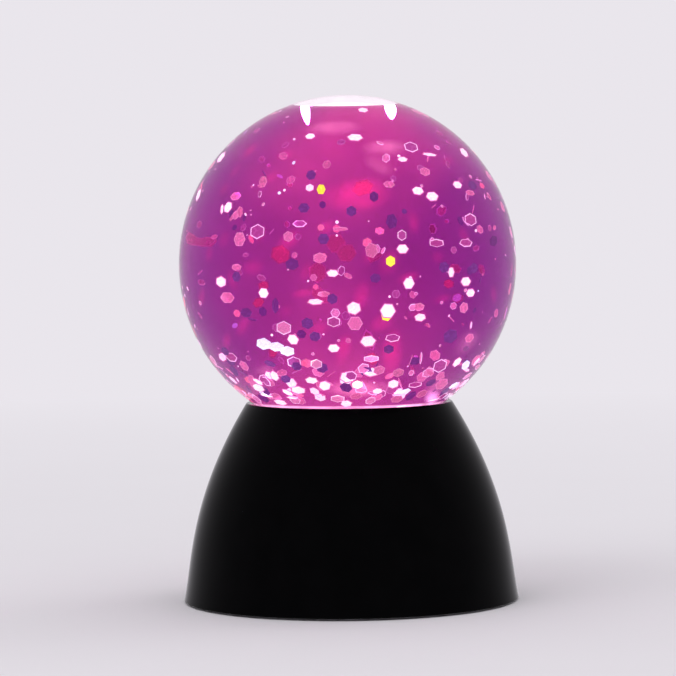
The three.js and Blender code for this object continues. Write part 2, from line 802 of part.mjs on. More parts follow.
function motorPlate() {
  const heights = [plateBottom - overrun, plateTop + overrun];
  const disc = peg(plateRadius, [plateBottom, plateTop], [0, 0], ballSides);
  const pillars = pillarPlaces.flatMap(({ x, y }) => [
    peg(pillarRadius, [plateBottom, pillarTop], [x, y]),
    peg(pinRadius, [plateBottom, boardTop + pinProud], [x, y]),
  ]);
  const holes = [
    peg(motorBossRadius + clearance, heights, [0, 0], plateSides),
    ...motorScrewPlaces.map(({ x, y }) => peg(motorScrewRadius + clearance, heights, [x, y])),
    ...postPlaces.map(({ x, y }) => peg(screwHole, heights, [x, y])),
    ...wireHolePlaces.map(({ x, y }) => peg(wireHoleRadius, heights, [x, y])),
  ];
  return cutBy(joined([disc, ...pillars]), holes);
}

// A motor screw points down, so its head is on top of the plate.
function motorScrewSurface() {
  const length = plateTop + clearance - motorScrewTop + screwHeadHeight;
  const solid = screw(motorScrewRadius, motorScrewHeadRadius, screwHeadHeight, length);
  const geometry = surfaceOf(solid);
  geometry.rotateX(halfTurn);
  return geometry;
}

// Light board

const ledPlaces = roundPlaces(3, ledRing, halfTurn / 2);
const ledColours = ['red', 'green', 'blue'];

function ledBoard() {
  const holes = pillarPlaces.map(({ x, y }) => peg(
    pinRadius + clearance,
    [boardBottom - overrun, boardTop + overrun],
    [x, y],
  ));
  return cutBy(ring(boardHole, boardRadius, [boardBottom, boardTop]), holes);
}

function led() {
  const dome = [1, 2, 3, 4].map((i) => {
    const angle = halfTurn / 2 * i / 4;
    return [i === 4 ? 0 : ledRadius * Math.cos(angle), ledBodyHeight + ledRadius * Math.sin(angle)];
  });
  return turned([
    [0, 0], [ledRadius + ledFlange, 0], [ledRadius + ledFlange, ledFlangeHeight],
    [ledRadius, ledFlangeHeight], [ledRadius, ledBodyHeight], ...dome,
  ], pegSides);
}

// Magnetic drive

const carrierPocketDepth = driveMagnetHeight + clearance;
const impellerPocketDepth = impellerMagnetHeight + clearance;
const shaftTop = carrierTop - 2 * clearance;
const magnetPlaces = roundPlaces(2, magnetRing, 0);

function magnetCarrier() {
  const disc = peg(carrierRadius, [carrierBottom, carrierTop], [0, 0], plateSides);
  const pockets = magnetPlaces.map(({ x, y }) => peg(
    driveMagnetRadius + clearance,
    [carrierTop - carrierPocketDepth, carrierTop + overrun],
    [x, y],
  ));
  const bore = peg(shaftHole, [carrierBottom - overrun, carrierTop - clearance]);
  return cutBy(disc, [bore, ...pockets]);
}

function impeller() {
  const discTop = impellerBottom + impellerDisc;
  const disc = peg(impellerRadius, [impellerBottom, discTop], [0, 0], plateSides);
  const hub = peg(impellerHubRadius, [impellerBottom, impellerTop]);
  const blade = box(
    [0, impellerRadius - bladeMargin],
    [-bladeThickness / 2, bladeThickness / 2],
    [impellerBottom + impellerDisc / 2, impellerTop],
  );
  const blades = roundPlaces(bladeCount, impellerRadius, halfTurn / bladeCount)
    .map(({ angle }) => turnedBy(blade, angle));
  const pockets = magnetPlaces.map(({ x, y }) => peg(
    impellerMagnetRadius + clearance,
    [impellerBottom - overrun, impellerBottom + impellerPocketDepth],
    [x, y],
  ));
  const bore = peg(axleRadius + clearance, [impellerBottom - overrun, impellerTop + overrun]);
  return cutBy(joined([disc, hub, ...blades]), [bore, ...pockets]);
}

// Globe and its closure

function globeShell() {
  const inner = globeRadius - globeWall;
  const innerArc = ballArc(inner, Math.asin(neckBore / inner), halfTurn).reverse();
  const outerArc = ballArc(globeRadius, Math.asin(neckRadius / globeRadius), halfTurn);
  return turned([...innerArc, [neckBore, neckBottom], [neckRadius, neckBottom], ...outerArc], ballSides);
}

function ringNut() {
  const top = flangeHeight - clearance;
  const nut = ring(neckRadius + clearance, nutRadius, [top - nutThickness, top], ballSides);
  const notch = box(
    [nutRadius - nutNotchDepth, nutRadius + overrun],
    [-nutNotchHalfWidth, nutNotchHalfWidth],
    [top - nutThickness - overrun, top - nutThickness / 2],
  );
  const places = roundPlaces(nutNotchCount, nutRadius, 0);
  return cutBy(nut, places.map(({ angle }) => turnedBy(notch, angle)));
}

// The plug's axle hole is blind, so that the liquid has no way out.
function globePlug() {
  const hole = axleRadius + clearance;
  const seat = plugTop - axleSeat - clearance;
  return turned([
    [0, recessTop], [recessRadius, recessTop], [recessRadius, plugBottom], [neckRadius, plugBottom],
    [neckRadius, plugFlangeTop], [plugRadius, plugFlangeTop], [plugRadius, plugTop], [hole, plugTop],
    [hole, seat], [0, seat],
  ], ballSides);
}

function plugSeal() {
  const heights = [sealBottom, sealBottom + sealThickness];
  return ring(neckRadius - sealWidth, neckRadius, heights, ballSides);
}

// Liquid with dimples for the flakes that lie near the glass

const liquidTop = globeTop - globeWall - bubbleDepth;
const flakeDistance = liquidRadius - flakeSink - flakeThickness / 2;
const flakeCorner = flakeAcross / Math.sqrt(3);

// Each flake faces away from the globe's centre.
const flakePoses = flakePlaceShares.map(([turnShare, riseShare]) => {
  const [turn, rise] = [fullTurn * turnShare, halfTurn * (riseShare - 1 / 2)];
  const out = new THREE.Vector3(
    Math.cos(rise) * Math.cos(turn),
    Math.cos(rise) * Math.sin(turn),
    Math.sin(rise),
  );
  const turnToOut = new THREE.Quaternion().setFromUnitVectors(new THREE.Vector3(0, 0, 1), out);
  const centre = out.clone().multiplyScalar(flakeDistance);
  centre.z += globeCentre;
  return { centre, turnToOut };
});

function flakeDimple({ centre, turnToOut }) {
  const depth = flakeThickness / 2 + clearance;
  const geometry = surfaceOf(peg(flakeCorner + clearance, [-depth, overrun]));
  geometry.applyQuaternion(turnToOut);
  geometry.translate(centre.x, centre.y, centre.z);
  return solidOf(geometry);
}

function liquid() {
  const roomTop = axleTop + swirlRoomHead;
  const arc = ballArc(liquidRadius, Math.asin(swirlRoomRadius / liquidRadius), halfTurn);
  const body = turned([[0, roomTop], [swirlRoomRadius, roomTop], ...arc], ballSides);
  const bubble = peg(globeRadius, [liquidTop, globeTop]);
  return cutBy(body, [bubble, ...flakePoses.map(flakeDimple)]);
}

function flakeSurface() {
  return surfaceOf(peg(flakeCorner, [-flakeThickness / 2, flakeThickness / 2], [0, 0], 6));
}

// Wires. The end points sit just off what they are soldered to, and the points between are
// chosen by hand along the way that such a wire takes.

function lead(points) {
  const curve = new THREE.CatmullRomCurve3(points.map((point) => new THREE.Vector3(...point)));
  return bar(curve, leadRadius, leadSteps, leadSides);
}

const overBoard = boardTop + clearance;
const tabTip = tabEnd + clearance;
const switchTerminal = switchBack - clearance;
const motorTerminal = motorRadius + clearance;
const motorLeadHeight = motorBottom + leadRadius;

const leadRoutes = {
  lead_positive: [
    [cellXs[2], tabTip, tabHeight], [14.5, 35.5, 14.2], [13.2, 36.7, 15.4], [10.4, 36.6, 16.2],
    [6.6, 35.6, 15.6], [4.3, 35.7, 14.2], [4, switchTerminal, switchHeight],
  ],
  lead_switched: [
    [-4, switchTerminal, switchHeight], [-4.1, 35.9, 14.3], [-4.8, 35.3, 17], [-6, 35.6, 22],
    [-7, 36, 29], [-7, 35.4, 36], [-6.4, 30, 39.2], [-5.6, 22.5, 39.6], [-5.1, 18, 38.6],
    [-5, 17.4, overBoard],
  ],
  lead_negative: [
    [cellXs[0], -tabTip, tabHeight], [-14.8, -35.5, 14.4], [-15.8, -36, 17.5], [-16.6, -35.6, 22],
    [-17, -34.2, 29], [-16.4, -33.4, 36], [-13.6, -28, 39], [-10.6, -20, 39.4], [-9.2, -15.6, 38.4],
    [-9, -15, overBoard],
  ],
  lead_motor_red: [
    [17.5, 0, overBoard], [17.8, 0, 38.4], [20.5, 0, 39.6], [wireHoleRing, 0, 37.6],
    [wireHoleRing, 0, 30], [21.5, 0, 24], [16.5, 0, 20.7], [motorTerminal, 0, motorLeadHeight],
  ],
  lead_motor_black: [
    [-17.5, 0, overBoard], [-17.8, 0, 38.4], [-20.5, 0, 39.6], [-wireHoleRing, 0, 37.6],
    [-wireHoleRing, 0, 30], [-21.5, 0, 24], [-16.5, 0, 20.7], [-motorTerminal, 0, motorLeadHeight],
  ],
};

// The lamp, put together from the table up

const base = section('base');
const numbered = (name, i) => `${name}_${i + 1}`;

const padGeometry = surfaceOf(peg(padRadius, [0, padHeight], [0, 0], plateSides));
padPlaces.forEach(([x, y], i) => place(base, numbered('foot_pad', i), padGeometry, rubber, [x, y, 0]));
place(base, 'bottom_cover', surfaceOf(bottomCover()), blackPlastic);
place(base, 'battery_door', surfaceOf(batteryDoor()), blackPlastic);
place(base, 'base_housing', surfaceOf(housing()), glossBlack);

const screwSurface = (length) => surfaceOf(screw(screwRadius, screwHeadRadius, screwHeadHeight, length));
const headHeight = coverLift + screwHeadHeight;
place(base, 'door_screw', screwSurface(doorScrewLength), steel, [0, doorScrewPlace, headHeight]);
const coverScrewGeometry = screwSurface(coverScrewLength);
coverScrewPlaces.forEach(({ x, y }, i) => {
  place(base, numbered('cover_screw', i), coverScrewGeometry, steel, [x, y, headHeight]);
});

const power = section('power');
const cellGeometry = cellSurface();
cellXs.forEach((x, i) => {
  const end = i % 2 === 0 ? 1 : -1;
  const centre = [x, end * cellShift, cellHeight];
  const cell = place(power, numbered('battery', i), cellGeometry, cellJacket, centre);
  cell.rotation.z = end > 0 ? 0 : halfTurn;
});
const [leftX, middleX, rightX] = cellXs;
const contacts = {
  contact_negative: [
    contactPlate([leftX], -1), contactSpring(leftX, -1), contactTab(leftX, -1, 0),
  ],
  contact_link_rear: [
    contactPlate([leftX, middleX], 1), contactNub(leftX, 1), contactSpring(middleX, 1),
  ],
  contact_link_front: [
    contactPlate([middleX, rightX], -1), contactNub(middleX, -1), contactSpring(rightX, -1),
  ],
  contact_positive: [
    contactPlate([rightX], 1), contactNub(rightX, 1), contactTab(rightX, 1, 0),
  ],
};
Object.entries(contacts).forEach(([name, solids]) => {
  place(power, name, surfaceOf(joined(solids)), nickel);
});
place(power, 'switch_body', surfaceOf(switchBody()), blackPlastic);
place(power, 'switch_knob', surfaceOf(switchKnob()), blackPlastic);
const leadColours = {
  lead_positive: wireRed,
  lead_switched: wireWhite,
  lead_negative: wireBlack,
  lead_motor_red: wireRed,
  lead_motor_black: wireBlack,
};
Object.entries(leadRoutes).forEach(([name, points]) => {
  place(power, name, surfaceOf(lead(points)), leadColours[name]);
});

const drive = section('drive');
place(drive, 'motor_can', surfaceOf(motorCan()), steel);
place(drive, 'motor_end_cap', surfaceOf(motorEndCap()), whitePlastic);
place(drive, 'motor_magnet_ring', surfaceOf(motorMagnetRing()), ferrite);
place(drive, 'motor_armature', surfaceOf(motorArmature()), winding);
place(drive, 'motor_shaft', surfaceOf(motorShaft()), steel);
place(drive, 'motor_plate', surfaceOf(motorPlate()), whitePlastic);
const motorScrewGeometry = motorScrewSurface();
motorScrewPlaces.forEach(({ x, y }, i) => {
  place(drive, numbered('motor_screw', i), motorScrewGeometry, steel, [x, y, plateTop + clearance]);
});
const plateScrewGeometry = screwSurface(plateScrewLength);
postPlaces.forEach(({ x, y }, i) => {
  place(drive, numbered('plate_screw', i), plateScrewGeometry, steel, [x, y, plateBottom - clearance]);
});
place(drive, 'magnet_carrier', surfaceOf(magnetCarrier()), whitePlastic);
const driveMagnetGeometry = surfaceOf(peg(driveMagnetRadius, [0, driveMagnetHeight]));
magnetPlaces.forEach(({ x, y }, i) => {
  const height = carrierTop - driveMagnetHeight;
  place(drive, numbered('drive_magnet', i), driveMagnetGeometry, magnetMetal, [x, y, height]);
});

const light = section('light');
place(light, 'led_board', surfaceOf(ledBoard()), boardGreen);
const ledGeometry = surfaceOf(led());
ledPlaces.forEach(({ x, y }, i) => {
  place(light, `led_${ledColours[i]}`, ledGeometry, ledLens[ledColours[i]], [x, y, ledBottom]);
});
const chip = place(
  light,
  'control_chip',
  surfaceOf(box([-chipHalfWidth, chipHalfWidth], [-chipHalfLength, chipHalfLength], [0, chipHeight])),
  chipBlack,
);
const chipAngle = -halfTurn / 3;
chip.position.set(chipRing * Math.cos(chipAngle), chipRing * Math.sin(chipAngle), ledBottom);
chip.rotation.z = chipAngle;

const globe = section('globe');
place(globe, 'globe_shell', surfaceOf(globeShell()), clearGlass);
place(globe, 'globe_ring_nut', surfaceOf(ringNut()), blackPlastic);
place(globe, 'globe_plug', surfaceOf(globePlug()), clearPlastic);
place(globe, 'plug_seal', surfaceOf(plugSeal()), rubber);
place(globe, 'impeller_pin', surfaceOf(peg(axleRadius, [plugTop - axleSeat, axleTop])), steel);
place(globe, 'impeller', surfaceOf(impeller()), clearPlastic);
const impellerMagnetGeometry = surfaceOf(peg(impellerMagnetRadius, [0, impellerMagnetHeight]));
magnetPlaces.forEach(({ x, y }, i) => {
  const foot = [x, y, impellerBottom];
  place(globe, numbered('impeller_magnet', i), impellerMagnetGeometry, magnetMetal, foot);
});
place(globe, 'glitter_liquid', surfaceOf(liquid()), pinkLiquid);
const flakeGeometry = flakeSurface();
flakePoses.forEach(({ centre, turnToOut }, i) => {
  const flake = place(globe, numbered('glitter_flake', i), flakeGeometry, glitterFoil, centre.toArray());
  flake.quaternion.copy(turnToOut);
});

export default lamp;
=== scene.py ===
"""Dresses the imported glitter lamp: a clear ball of pink liquid and glitter on a gloss-black base.

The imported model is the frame. Smooth surfaces take the place of its housing, globe, liquid, knob
and feet, of its flakes and of the screws that show. All pieces get a finish, and a pale studio
stands round the lamp. Metres, +Z up, and the front faces -Y. The tables of drops and patches of
light are in millimetres, and the table of flakes is in the pixels of an enlarged picture.
"""

import json

import bpy
import numpy as np
from mathutils import Matrix, Vector


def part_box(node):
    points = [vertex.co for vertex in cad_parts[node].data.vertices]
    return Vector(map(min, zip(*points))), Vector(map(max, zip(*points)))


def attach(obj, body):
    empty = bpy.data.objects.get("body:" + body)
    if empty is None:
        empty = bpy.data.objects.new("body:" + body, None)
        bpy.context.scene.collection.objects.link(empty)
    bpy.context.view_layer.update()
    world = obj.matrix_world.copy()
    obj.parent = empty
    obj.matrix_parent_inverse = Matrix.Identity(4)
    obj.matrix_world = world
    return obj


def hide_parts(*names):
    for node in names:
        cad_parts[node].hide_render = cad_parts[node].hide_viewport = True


bl_info = {
    "name": "Glitter lamp",
    "version": (1, 0, 0),
    "blender": (4, 5, 0),
    "location": "3D View > Sidebar > Glitter lamp",
    "description": "Builds the looks of a glitter lamp round its packed model",
    "category": "Object",
}

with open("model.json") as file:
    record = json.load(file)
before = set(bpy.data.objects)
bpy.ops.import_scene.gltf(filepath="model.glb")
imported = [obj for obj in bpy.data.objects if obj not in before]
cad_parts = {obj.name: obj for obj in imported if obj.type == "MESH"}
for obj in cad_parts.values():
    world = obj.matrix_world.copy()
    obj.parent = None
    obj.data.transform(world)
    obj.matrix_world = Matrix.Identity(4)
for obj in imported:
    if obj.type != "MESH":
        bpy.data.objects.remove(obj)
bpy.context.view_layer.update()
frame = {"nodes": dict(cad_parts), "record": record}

MM = 0.001
TURN = 2 * np.pi
GLOBE_MIDDLE = np.array([0, 0, 0.1])
GLOBE_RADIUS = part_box("globe_shell")[1].x
LIQUID_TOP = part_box("glitter_liquid")[1].z
LIQUID_INDEX = 1.33
# The camera, as fitted to the lamp's outline in the photo, with its lens and sensor in
# millimetres
CAMERA_PLACE = np.array([0, -1.02506, 0.130786])
CAMERA_TARGET = np.array([-0.0030954, 0, 0.0780033])
CAMERA_ROLL = -0.0125017
CAMERA_LENS, CAMERA_SENSOR = 184.1, 36
# Faces that meet at more than this angle meet in a crisp edge
SHARP_ANGLE = np.radians(35)


# Surfaces: a surface is a pair of its points and a list of face tables. All faces of a table have
# the same number of corners.


def grid_faces(rows, columns, loop_rows=False, loop_columns=True):
    """Quads between neighbouring rows and columns of points that are numbered row by row."""
    r = np.arange(rows if loop_rows else rows - 1)[:, None]
    c = np.arange(columns if loop_columns else columns - 1)[None, :]
    up, along = (r + 1) % rows, (c + 1) % columns
    corners = [r * columns + c, r * columns + along, up * columns + along, up * columns + c]
    return np.stack(np.broadcast_arrays(*corners), -1).reshape(-1, 4)


def joined(*surfaces):
    """One surface with the points and faces of all."""
    points = np.concatenate([s[0] for s in surfaces])
    starts = np.cumsum([0] + [len(s[0]) for s in surfaces])
    return points, [table + start for s, start in zip(surfaces, starts) for table in s[1]]


def swept(profile, angles, middle):
    """A profile of (radius r, height z) at angles a about an upright axis: (r cos a, r sin a, z)."""
    radius, height = profile[:, :1], profile[:, 1:]
    return np.stack([
        middle[0] + radius * np.cos(angles), middle[1] + radius * np.sin(angles),
        np.repeat(height, len(angles), 1)], -1)


def turned(profile, sides, middle=(0, 0)):
    """A profile swept once round an upright axis.

    It runs up the outside and down the inside. Where an end of it lies on the axis, that end is
    closed in a pole; otherwise its last point is joined to its first.
    """
    profile = np.asarray(profile, float)
    on_axis = profile[:, 0] < 1e-9
    rings = profile[~on_axis]
    points = swept(rings, np.arange(sides) * TURN / sides, middle).reshape(-1, 3)
    tables = [grid_faces(len(rings), sides, loop_rows=not on_axis.any())]
    here, there = np.arange(sides), (np.arange(sides) + 1) % sides
    if on_axis[0]:
        tables.append(np.stack([np.full(sides, len(points)), there, here], -1))
        points = np.vstack([points, [*middle, profile[0, 1]]])
    if on_axis[-1]:
        last = (len(rings) - 1) * sides
        tables.append(np.stack([last + here, last + there, np.full(sides, len(points))], -1))
        points = np.vstack([points, [*middle, profile[-1, 1]]])
    return points, tables


def lofted(rings):
    """A skin over rings of points, (rings, points, 3), closed at both ends by a flat face.

    The rings run anticlockwise as seen against the way that they follow each other.
    """
    count, around = rings.shape[:2]
    ends = [np.arange(around)[None, ::-1], np.arange(around)[None] + (count - 1) * around]
    return rings.reshape(-1, 3), [grid_faces(count, around), *ends]


def eased(outline, reach, steps=4, closed=False):
    """An outline with each corner swapped for a short curve.

    The curve leaves one side at `reach` from the corner p, or at 0.45 of the side where that is
    less. That is the point a, and it meets the next side at b in the same way:
    (1-s)^2 a + 2s(1-s) p + s^2 b, for s from 0 to 1.
    """
    outline = np.asarray(outline, float)
    p = outline if closed else outline[1:-1]
    before = np.roll(outline, 1, 0) if closed else outline[:-2]
    after = np.roll(outline, -1, 0) if closed else outline[2:]

    def towards(q):
        """Where the curve meets the side from each corner to its neighbour q."""
        way = q - p
        length = np.linalg.norm(way, axis=1, keepdims=True)
        return p + way / length * np.minimum(reach, length * 0.45)

    s = np.linspace(0, 1, steps + 1)[None, :, None]
    a, b = towards(before)[:, None], towards(after)[:, None]
    curve = (1 - s) ** 2 * a + 2 * s * (1 - s) * p[:, None] + s**2 * b
    curve = curve.reshape(-1, outline.shape[1])
    return curve if closed else np.vstack([outline[:1], curve, outline[-1:]])


def arc(radius, height, start, end, steps):
    """Points (radius sin a, height - radius cos a), with a measured up from the lowest point."""
    a = np.linspace(start, end, steps + 1)
    return np.stack([radius * np.sin(a), height - radius * np.cos(a)], -1)


def across_ball(reach, heights):
    """How wide a ball round the globe's middle is at some heights, as radii."""
    return np.sqrt(reach**2 - (heights - GLOBE_MIDDLE[2]) ** 2)


def unit(vectors):
    """Vectors made one long."""
    return vectors / np.linalg.norm(vectors, axis=-1, keepdims=True)


def camera_axes():
    """The camera's right and up: across and over its line of sight, turned by its roll."""
    forwards = unit(CAMERA_TARGET - CAMERA_PLACE)
    right = unit(np.cross(forwards, [0, 0, 1]))
    up = np.cross(right, forwards)
    c, s = np.cos(CAMERA_ROLL), np.sin(CAMERA_ROLL)
    return c * right + s * up, -s * right + c * up


def sight(shown, depth):
    """Where something that shows at these places really is, if it is this far from the middle.

    A line of sight at the distance b from the middle goes on in the liquid at d = b / index. It
    is `depth` from the middle at the angle asin(b/R) + asin(d/depth) - asin(d/R) from the middle
    line. Gives the directions from the middle, and the way to the eye at each place.
    """
    forwards = unit(GLOBE_MIDDLE - CAMERA_PLACE)
    right, up = camera_axes()
    b = np.hypot(shown[:, 0], shown[:, 1])
    side = (shown[:, :1] * right + shown[:, 1:2] * up) / b[:, None]
    d = b / LIQUID_INDEX
    bend = np.arcsin(b / GLOBE_RADIUS) - np.arcsin(d / GLOBE_RADIUS)
    angle = bend + np.arcsin(d / np.maximum(depth, d))
    outwards = -forwards * np.cos(angle)[:, None] + side * np.sin(angle)[:, None]
    return outwards, unit(-forwards * np.cos(bend)[:, None] + side * np.sin(bend)[:, None])


def finish_of(slot):
    """The finish that was made for a slot."""
    return bpy.data.materials[bpy.context.scene.glitter_lamp_finishes[slot].finish]


def put(name, surface, body, slot, replaced=(), finishes=(), picked=None):
    """Makes a surface a piece of the lamp, which rides on a body and may stand for CAD nodes.

    It gets the finish of its slot, or else the named finishes, where `picked` holds the place of
    each face's finish among them.
    """
    points, tables = surface
    mesh = bpy.data.meshes.new(name)
    sizes = np.concatenate([np.full(len(t), t.shape[1]) for t in tables])
    mesh.vertices.add(len(points))
    mesh.vertices.foreach_set("co", np.asarray(points, np.float32).ravel())
    mesh.loops.add(int(sizes.sum()))
    mesh.loops.foreach_set("vertex_index", np.concatenate([t.ravel() for t in tables]).astype(np.int32))
    mesh.polygons.add(len(sizes))
    starts = np.concatenate([[0], np.cumsum(sizes)[:-1]])
    mesh.polygons.foreach_set("loop_start", starts.astype(np.int32))
    mesh.update(calc_edges=True)
    if mesh.validate():
        raise ValueError(f"{name} has faces that can't be drawn")
    for finish in finishes or [slot]:
        mesh.materials.append(finish_of(finish))
    if picked is not None:
        mesh.polygons.foreach_set("material_index", np.asarray(picked, np.int32))
    mesh.shade_smooth()
    mesh.set_sharp_from_angle(angle=SHARP_ANGLE)
    piece = bpy.data.objects.new(name, mesh)
    bpy.context.scene.collection.objects.link(piece)
    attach(piece, body)
    if replaced:
        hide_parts(*replaced)
    return piece


# Finishes

# Most values of a noise lie between these two
NOISE_LOW, NOISE_HIGH = 0.3, 0.7
# The tint of what the glass and the liquid mirror, chosen for the look of the photo
PINK_SHEEN = (0.3, 0.07, 0.32, 1)


def worked(tree, operation, *terms):
    """A value worked out from others, each of which is a node's output or a number."""
    node = tree.nodes.new("ShaderNodeMath")
    node.operation = operation
    for socket, term in zip(node.inputs, terms):
        if isinstance(term, bpy.types.NodeSocket):
            tree.links.new(term, socket)
        else:
            socket.default_value = term
    return node.outputs["Value"]


def highest(tree, value, *others):
    """The highest of some values."""
    for other in others:
        value = worked(tree, "MAXIMUM", value, other)
    return value


def blended(tree, one, other, share=None):
    """Two shaders mixed, with this share of the second, or added where there is no share."""
    node = tree.nodes.new("ShaderNodeAddShader" if share is None else "ShaderNodeMixShader")
    if share is not None:
        tree.links.new(share, node.inputs["Fac"])
    tree.links.new(one, node.inputs[-2])
    tree.links.new(other, node.inputs[-1])
    return node.outputs["Shader"]


class Finish:
    """A material with one Principled shader, and the nodes that feed it."""

    def __init__(self, name, **plain):
        self.material = bpy.data.materials.new(name)
        self.material.use_nodes = True
        self.tree = self.material.node_tree
        self.shader = next(n for n in self.tree.nodes if n.type == "BSDF_PRINCIPLED")
        self.output = next(n for n in self.tree.nodes if n.type == "OUTPUT_MATERIAL")
        self.place = self.node("ShaderNodeTexCoord").outputs["Object"]
        for socket, value in plain.items():
            self.shader.inputs[socket.replace("_", " ")].default_value = value

    def node(self, kind, wired=(), **values):
        """A node with some inputs wired and others given a value, each by its name."""
        made = self.tree.nodes.new(kind)
        for socket, value in values.items():
            made.inputs[socket.replace("_", " ")].default_value = value
        for socket, source in dict(wired).items():
            self.tree.links.new(source, made.inputs[socket])
        return made

    def feed(self, socket, source):
        """Wires a node's output to an input of the shader."""
        self.tree.links.new(source, self.shader.inputs[socket])

    def noise(self, size, detail=3, rough=0.55):
        """A noise whose patches are about `size` metres across."""
        made = self.node(
            "ShaderNodeTexNoise", {"Vector": self.place}, Scale=1 / size, Detail=detail, Roughness=rough)
        return made.outputs["Fac"]

    def ramp(self, source, *stops):
        """Colours along a value, as (place, colour) stops."""
        made = self.node("ShaderNodeValToRGB", {"Fac": source})
        for i, (place, colour) in enumerate(stops):
            stop = made.color_ramp.elements[i] if i < 2 else made.color_ramp.elements.new(place)
            stop.position, stop.color = place, (*colour, 1)
        return made.outputs["Color"]

    def spread(self, source, low, high, start=NOISE_LOW, end=NOISE_HIGH):
        """A value carried from start..end over to low..high."""
        made = self.node("ShaderNodeMapRange", {"Value": source})
        for socket, value in zip(("From Min", "From Max", "To Min", "To Max"), (start, end, low, high)):
            made.inputs[socket].default_value = value
        return made.outputs["Result"]

    def mottle(self, size, low, high, detail=3):
        """Lets the base colour drift between two colours, in patches of about `size`."""
        self.feed("Base Color", self.ramp(self.noise(size, detail), (NOISE_LOW, low), (NOISE_HIGH, high)))

    def wear(self, size, low, high, detail=3, rough=0.55):
        """Lets the roughness drift between two values, in patches of about `size`."""
        self.feed("Roughness", self.spread(self.noise(size, detail, rough), low, high))

    def bump(self, source, depth, strength=0.5):
        """Makes a value raise and lower the surface, by `depth` in all."""
        made = self.node("ShaderNodeBump", {"Height": source}, Strength=strength, Distance=depth)
        self.feed("Normal", made.outputs["Normal"])

    def shown_as(self, kind, source):
        """The material, with a node's output as its surface or its volume."""
        self.tree.links.new(source, self.output.inputs[kind])
        return self.material


def shade(colour, share):
    """A colour made darker or lighter."""
    return tuple(min(1, c * share) for c in colour)


def moulded(name, colour, roughness, grain=0.4 * MM, depth=0.02 * MM):
    """Plastic from a mould: faint mottling, rubbed and dull patches, and a fine grain."""
    made = Finish(name)
    mottling = 0.07
    made.mottle(6 * MM, shade(colour, 1 - mottling), shade(colour, 1 + mottling))
    made.wear(3 * MM, roughness * 0.85, roughness * 1.2, 4)
    made.bump(made.noise(grain, 2), depth)
    return made.material


def metal(name, colour, roughness):
    """Plated or drawn metal: faint mottling, small dull and shiny spots, and a fine grain."""
    made = Finish(name, Metallic=1)
    grain = 0.3 * MM
    made.mottle(2 * MM, shade(colour, 0.88), shade(colour, 1.06), 4)
    made.wear(grain, roughness * 0.7, roughness * 1.5, 4)
    made.bump(made.noise(grain * 0.5, 2), 0.008 * MM)
    return made.material


def gloss_black():
    """Polished black plastic: nearly mirror-smooth, with faint rub marks."""
    made = Finish("polished black", Specular_IOR_Level=0.018)
    made.mottle(9 * MM, (0.0006, 0.0006, 0.0008), (0.0012, 0.0011, 0.0014))
    made.wear(5 * MM, 0.06, 0.12, 6, 0.65)
    made.bump(made.noise(7 * MM, 2), 0.03 * MM, 0.25)
    return made.material


def glass():
    """Clear blown glass with a faint waviness.

    The liquid's surface behind it bends and reflects the light too, so the glass does so less.
    """
    made = Finish("clear glass", Transmission_Weight=1, IOR=1.14, Specular_Tint=PINK_SHEEN)
    made.mottle(20 * MM, (0.985, 0.985, 0.99), (1, 1, 1))
    made.wear(12 * MM, 0, 0.012)
    made.bump(made.noise(16 * MM, 2), 0.05 * MM, 0.15)
    return made.material


def liquid_finish(settings):
    """Tinted liquid: it takes its colour at its surface and along the light's way."""
    made = Finish("pink liquid", Transmission_Weight=1, IOR=LIQUID_INDEX, Specular_Tint=PINK_SHEEN)
    made.mottle(25 * MM, (0.7, 0.32, 0.7), (0.75, 0.38, 0.75))
    made.wear(15 * MM, 0, 0.01)
    colour = (*settings.liquid_colour, 1)
    tint = made.node("ShaderNodeVolumeAbsorption", Density=settings.liquid_density, Color=colour)
    return made.shown_as("Volume", tint.outputs["Volume"])


def lit_haze(glows):
    """Light scattered in the liquid, as a sum of glows in one volume.

    Each glow is strength times exp(-((x - x0)^2 + y^2) / spread^2), faded in and out between
    heights; a soft noise breaks all of them up. It is given as its colour, its strength, x0, its
    spread, the heights where it fades in and those where it fades out.
    """
    made = Finish("lit liquid")
    tree = made.tree
    tree.nodes.remove(made.shader)
    parts = made.node("ShaderNodeSeparateXYZ", {"Vector": made.place}).outputs
    cloud = made.spread(made.noise(16 * MM, 2), 0.3, 1.6, 0.35, 0.65)
    total = None
    for colour, strength, middle, spread, low, high in glows:
        x, y = worked(tree, "SUBTRACT", parts["X"], middle), parts["Y"]
        away = worked(tree, "ADD", worked(tree, "MULTIPLY", x, x), worked(tree, "MULTIPLY", y, y))
        glow = worked(tree, "POWER", np.e, worked(tree, "MULTIPLY", away, -1 / spread**2))
        start, end = made.spread(parts["Z"], 0, 1, *low), made.spread(parts["Z"], 1, 0, *high)
        level = worked(
            tree, "MULTIPLY", worked(tree, "MULTIPLY", glow, worked(tree, "MULTIPLY", start, end)),
            worked(tree, "MULTIPLY", cloud, strength))
        light = made.node("ShaderNodeEmission", {"Strength": level}, Color=(*colour, 1)).outputs["Emission"]
        total = light if total is None else blended(tree, total, light)
    return made.shown_as("Volume", total)


def glint(name, colour, strength, patch=6 * MM):
    """A place in the liquid or the bubble that shines, more in some patches than in others."""
    made = Finish(name)
    made.tree.nodes.remove(made.shader)
    level = made.spread(made.noise(patch, 2), strength * 0.4, strength * 1.5)
    light = made.node("ShaderNodeEmission", {"Strength": level}, Color=(*colour, 1))
    return made.shown_as("Volume", light.outputs["Emission"])


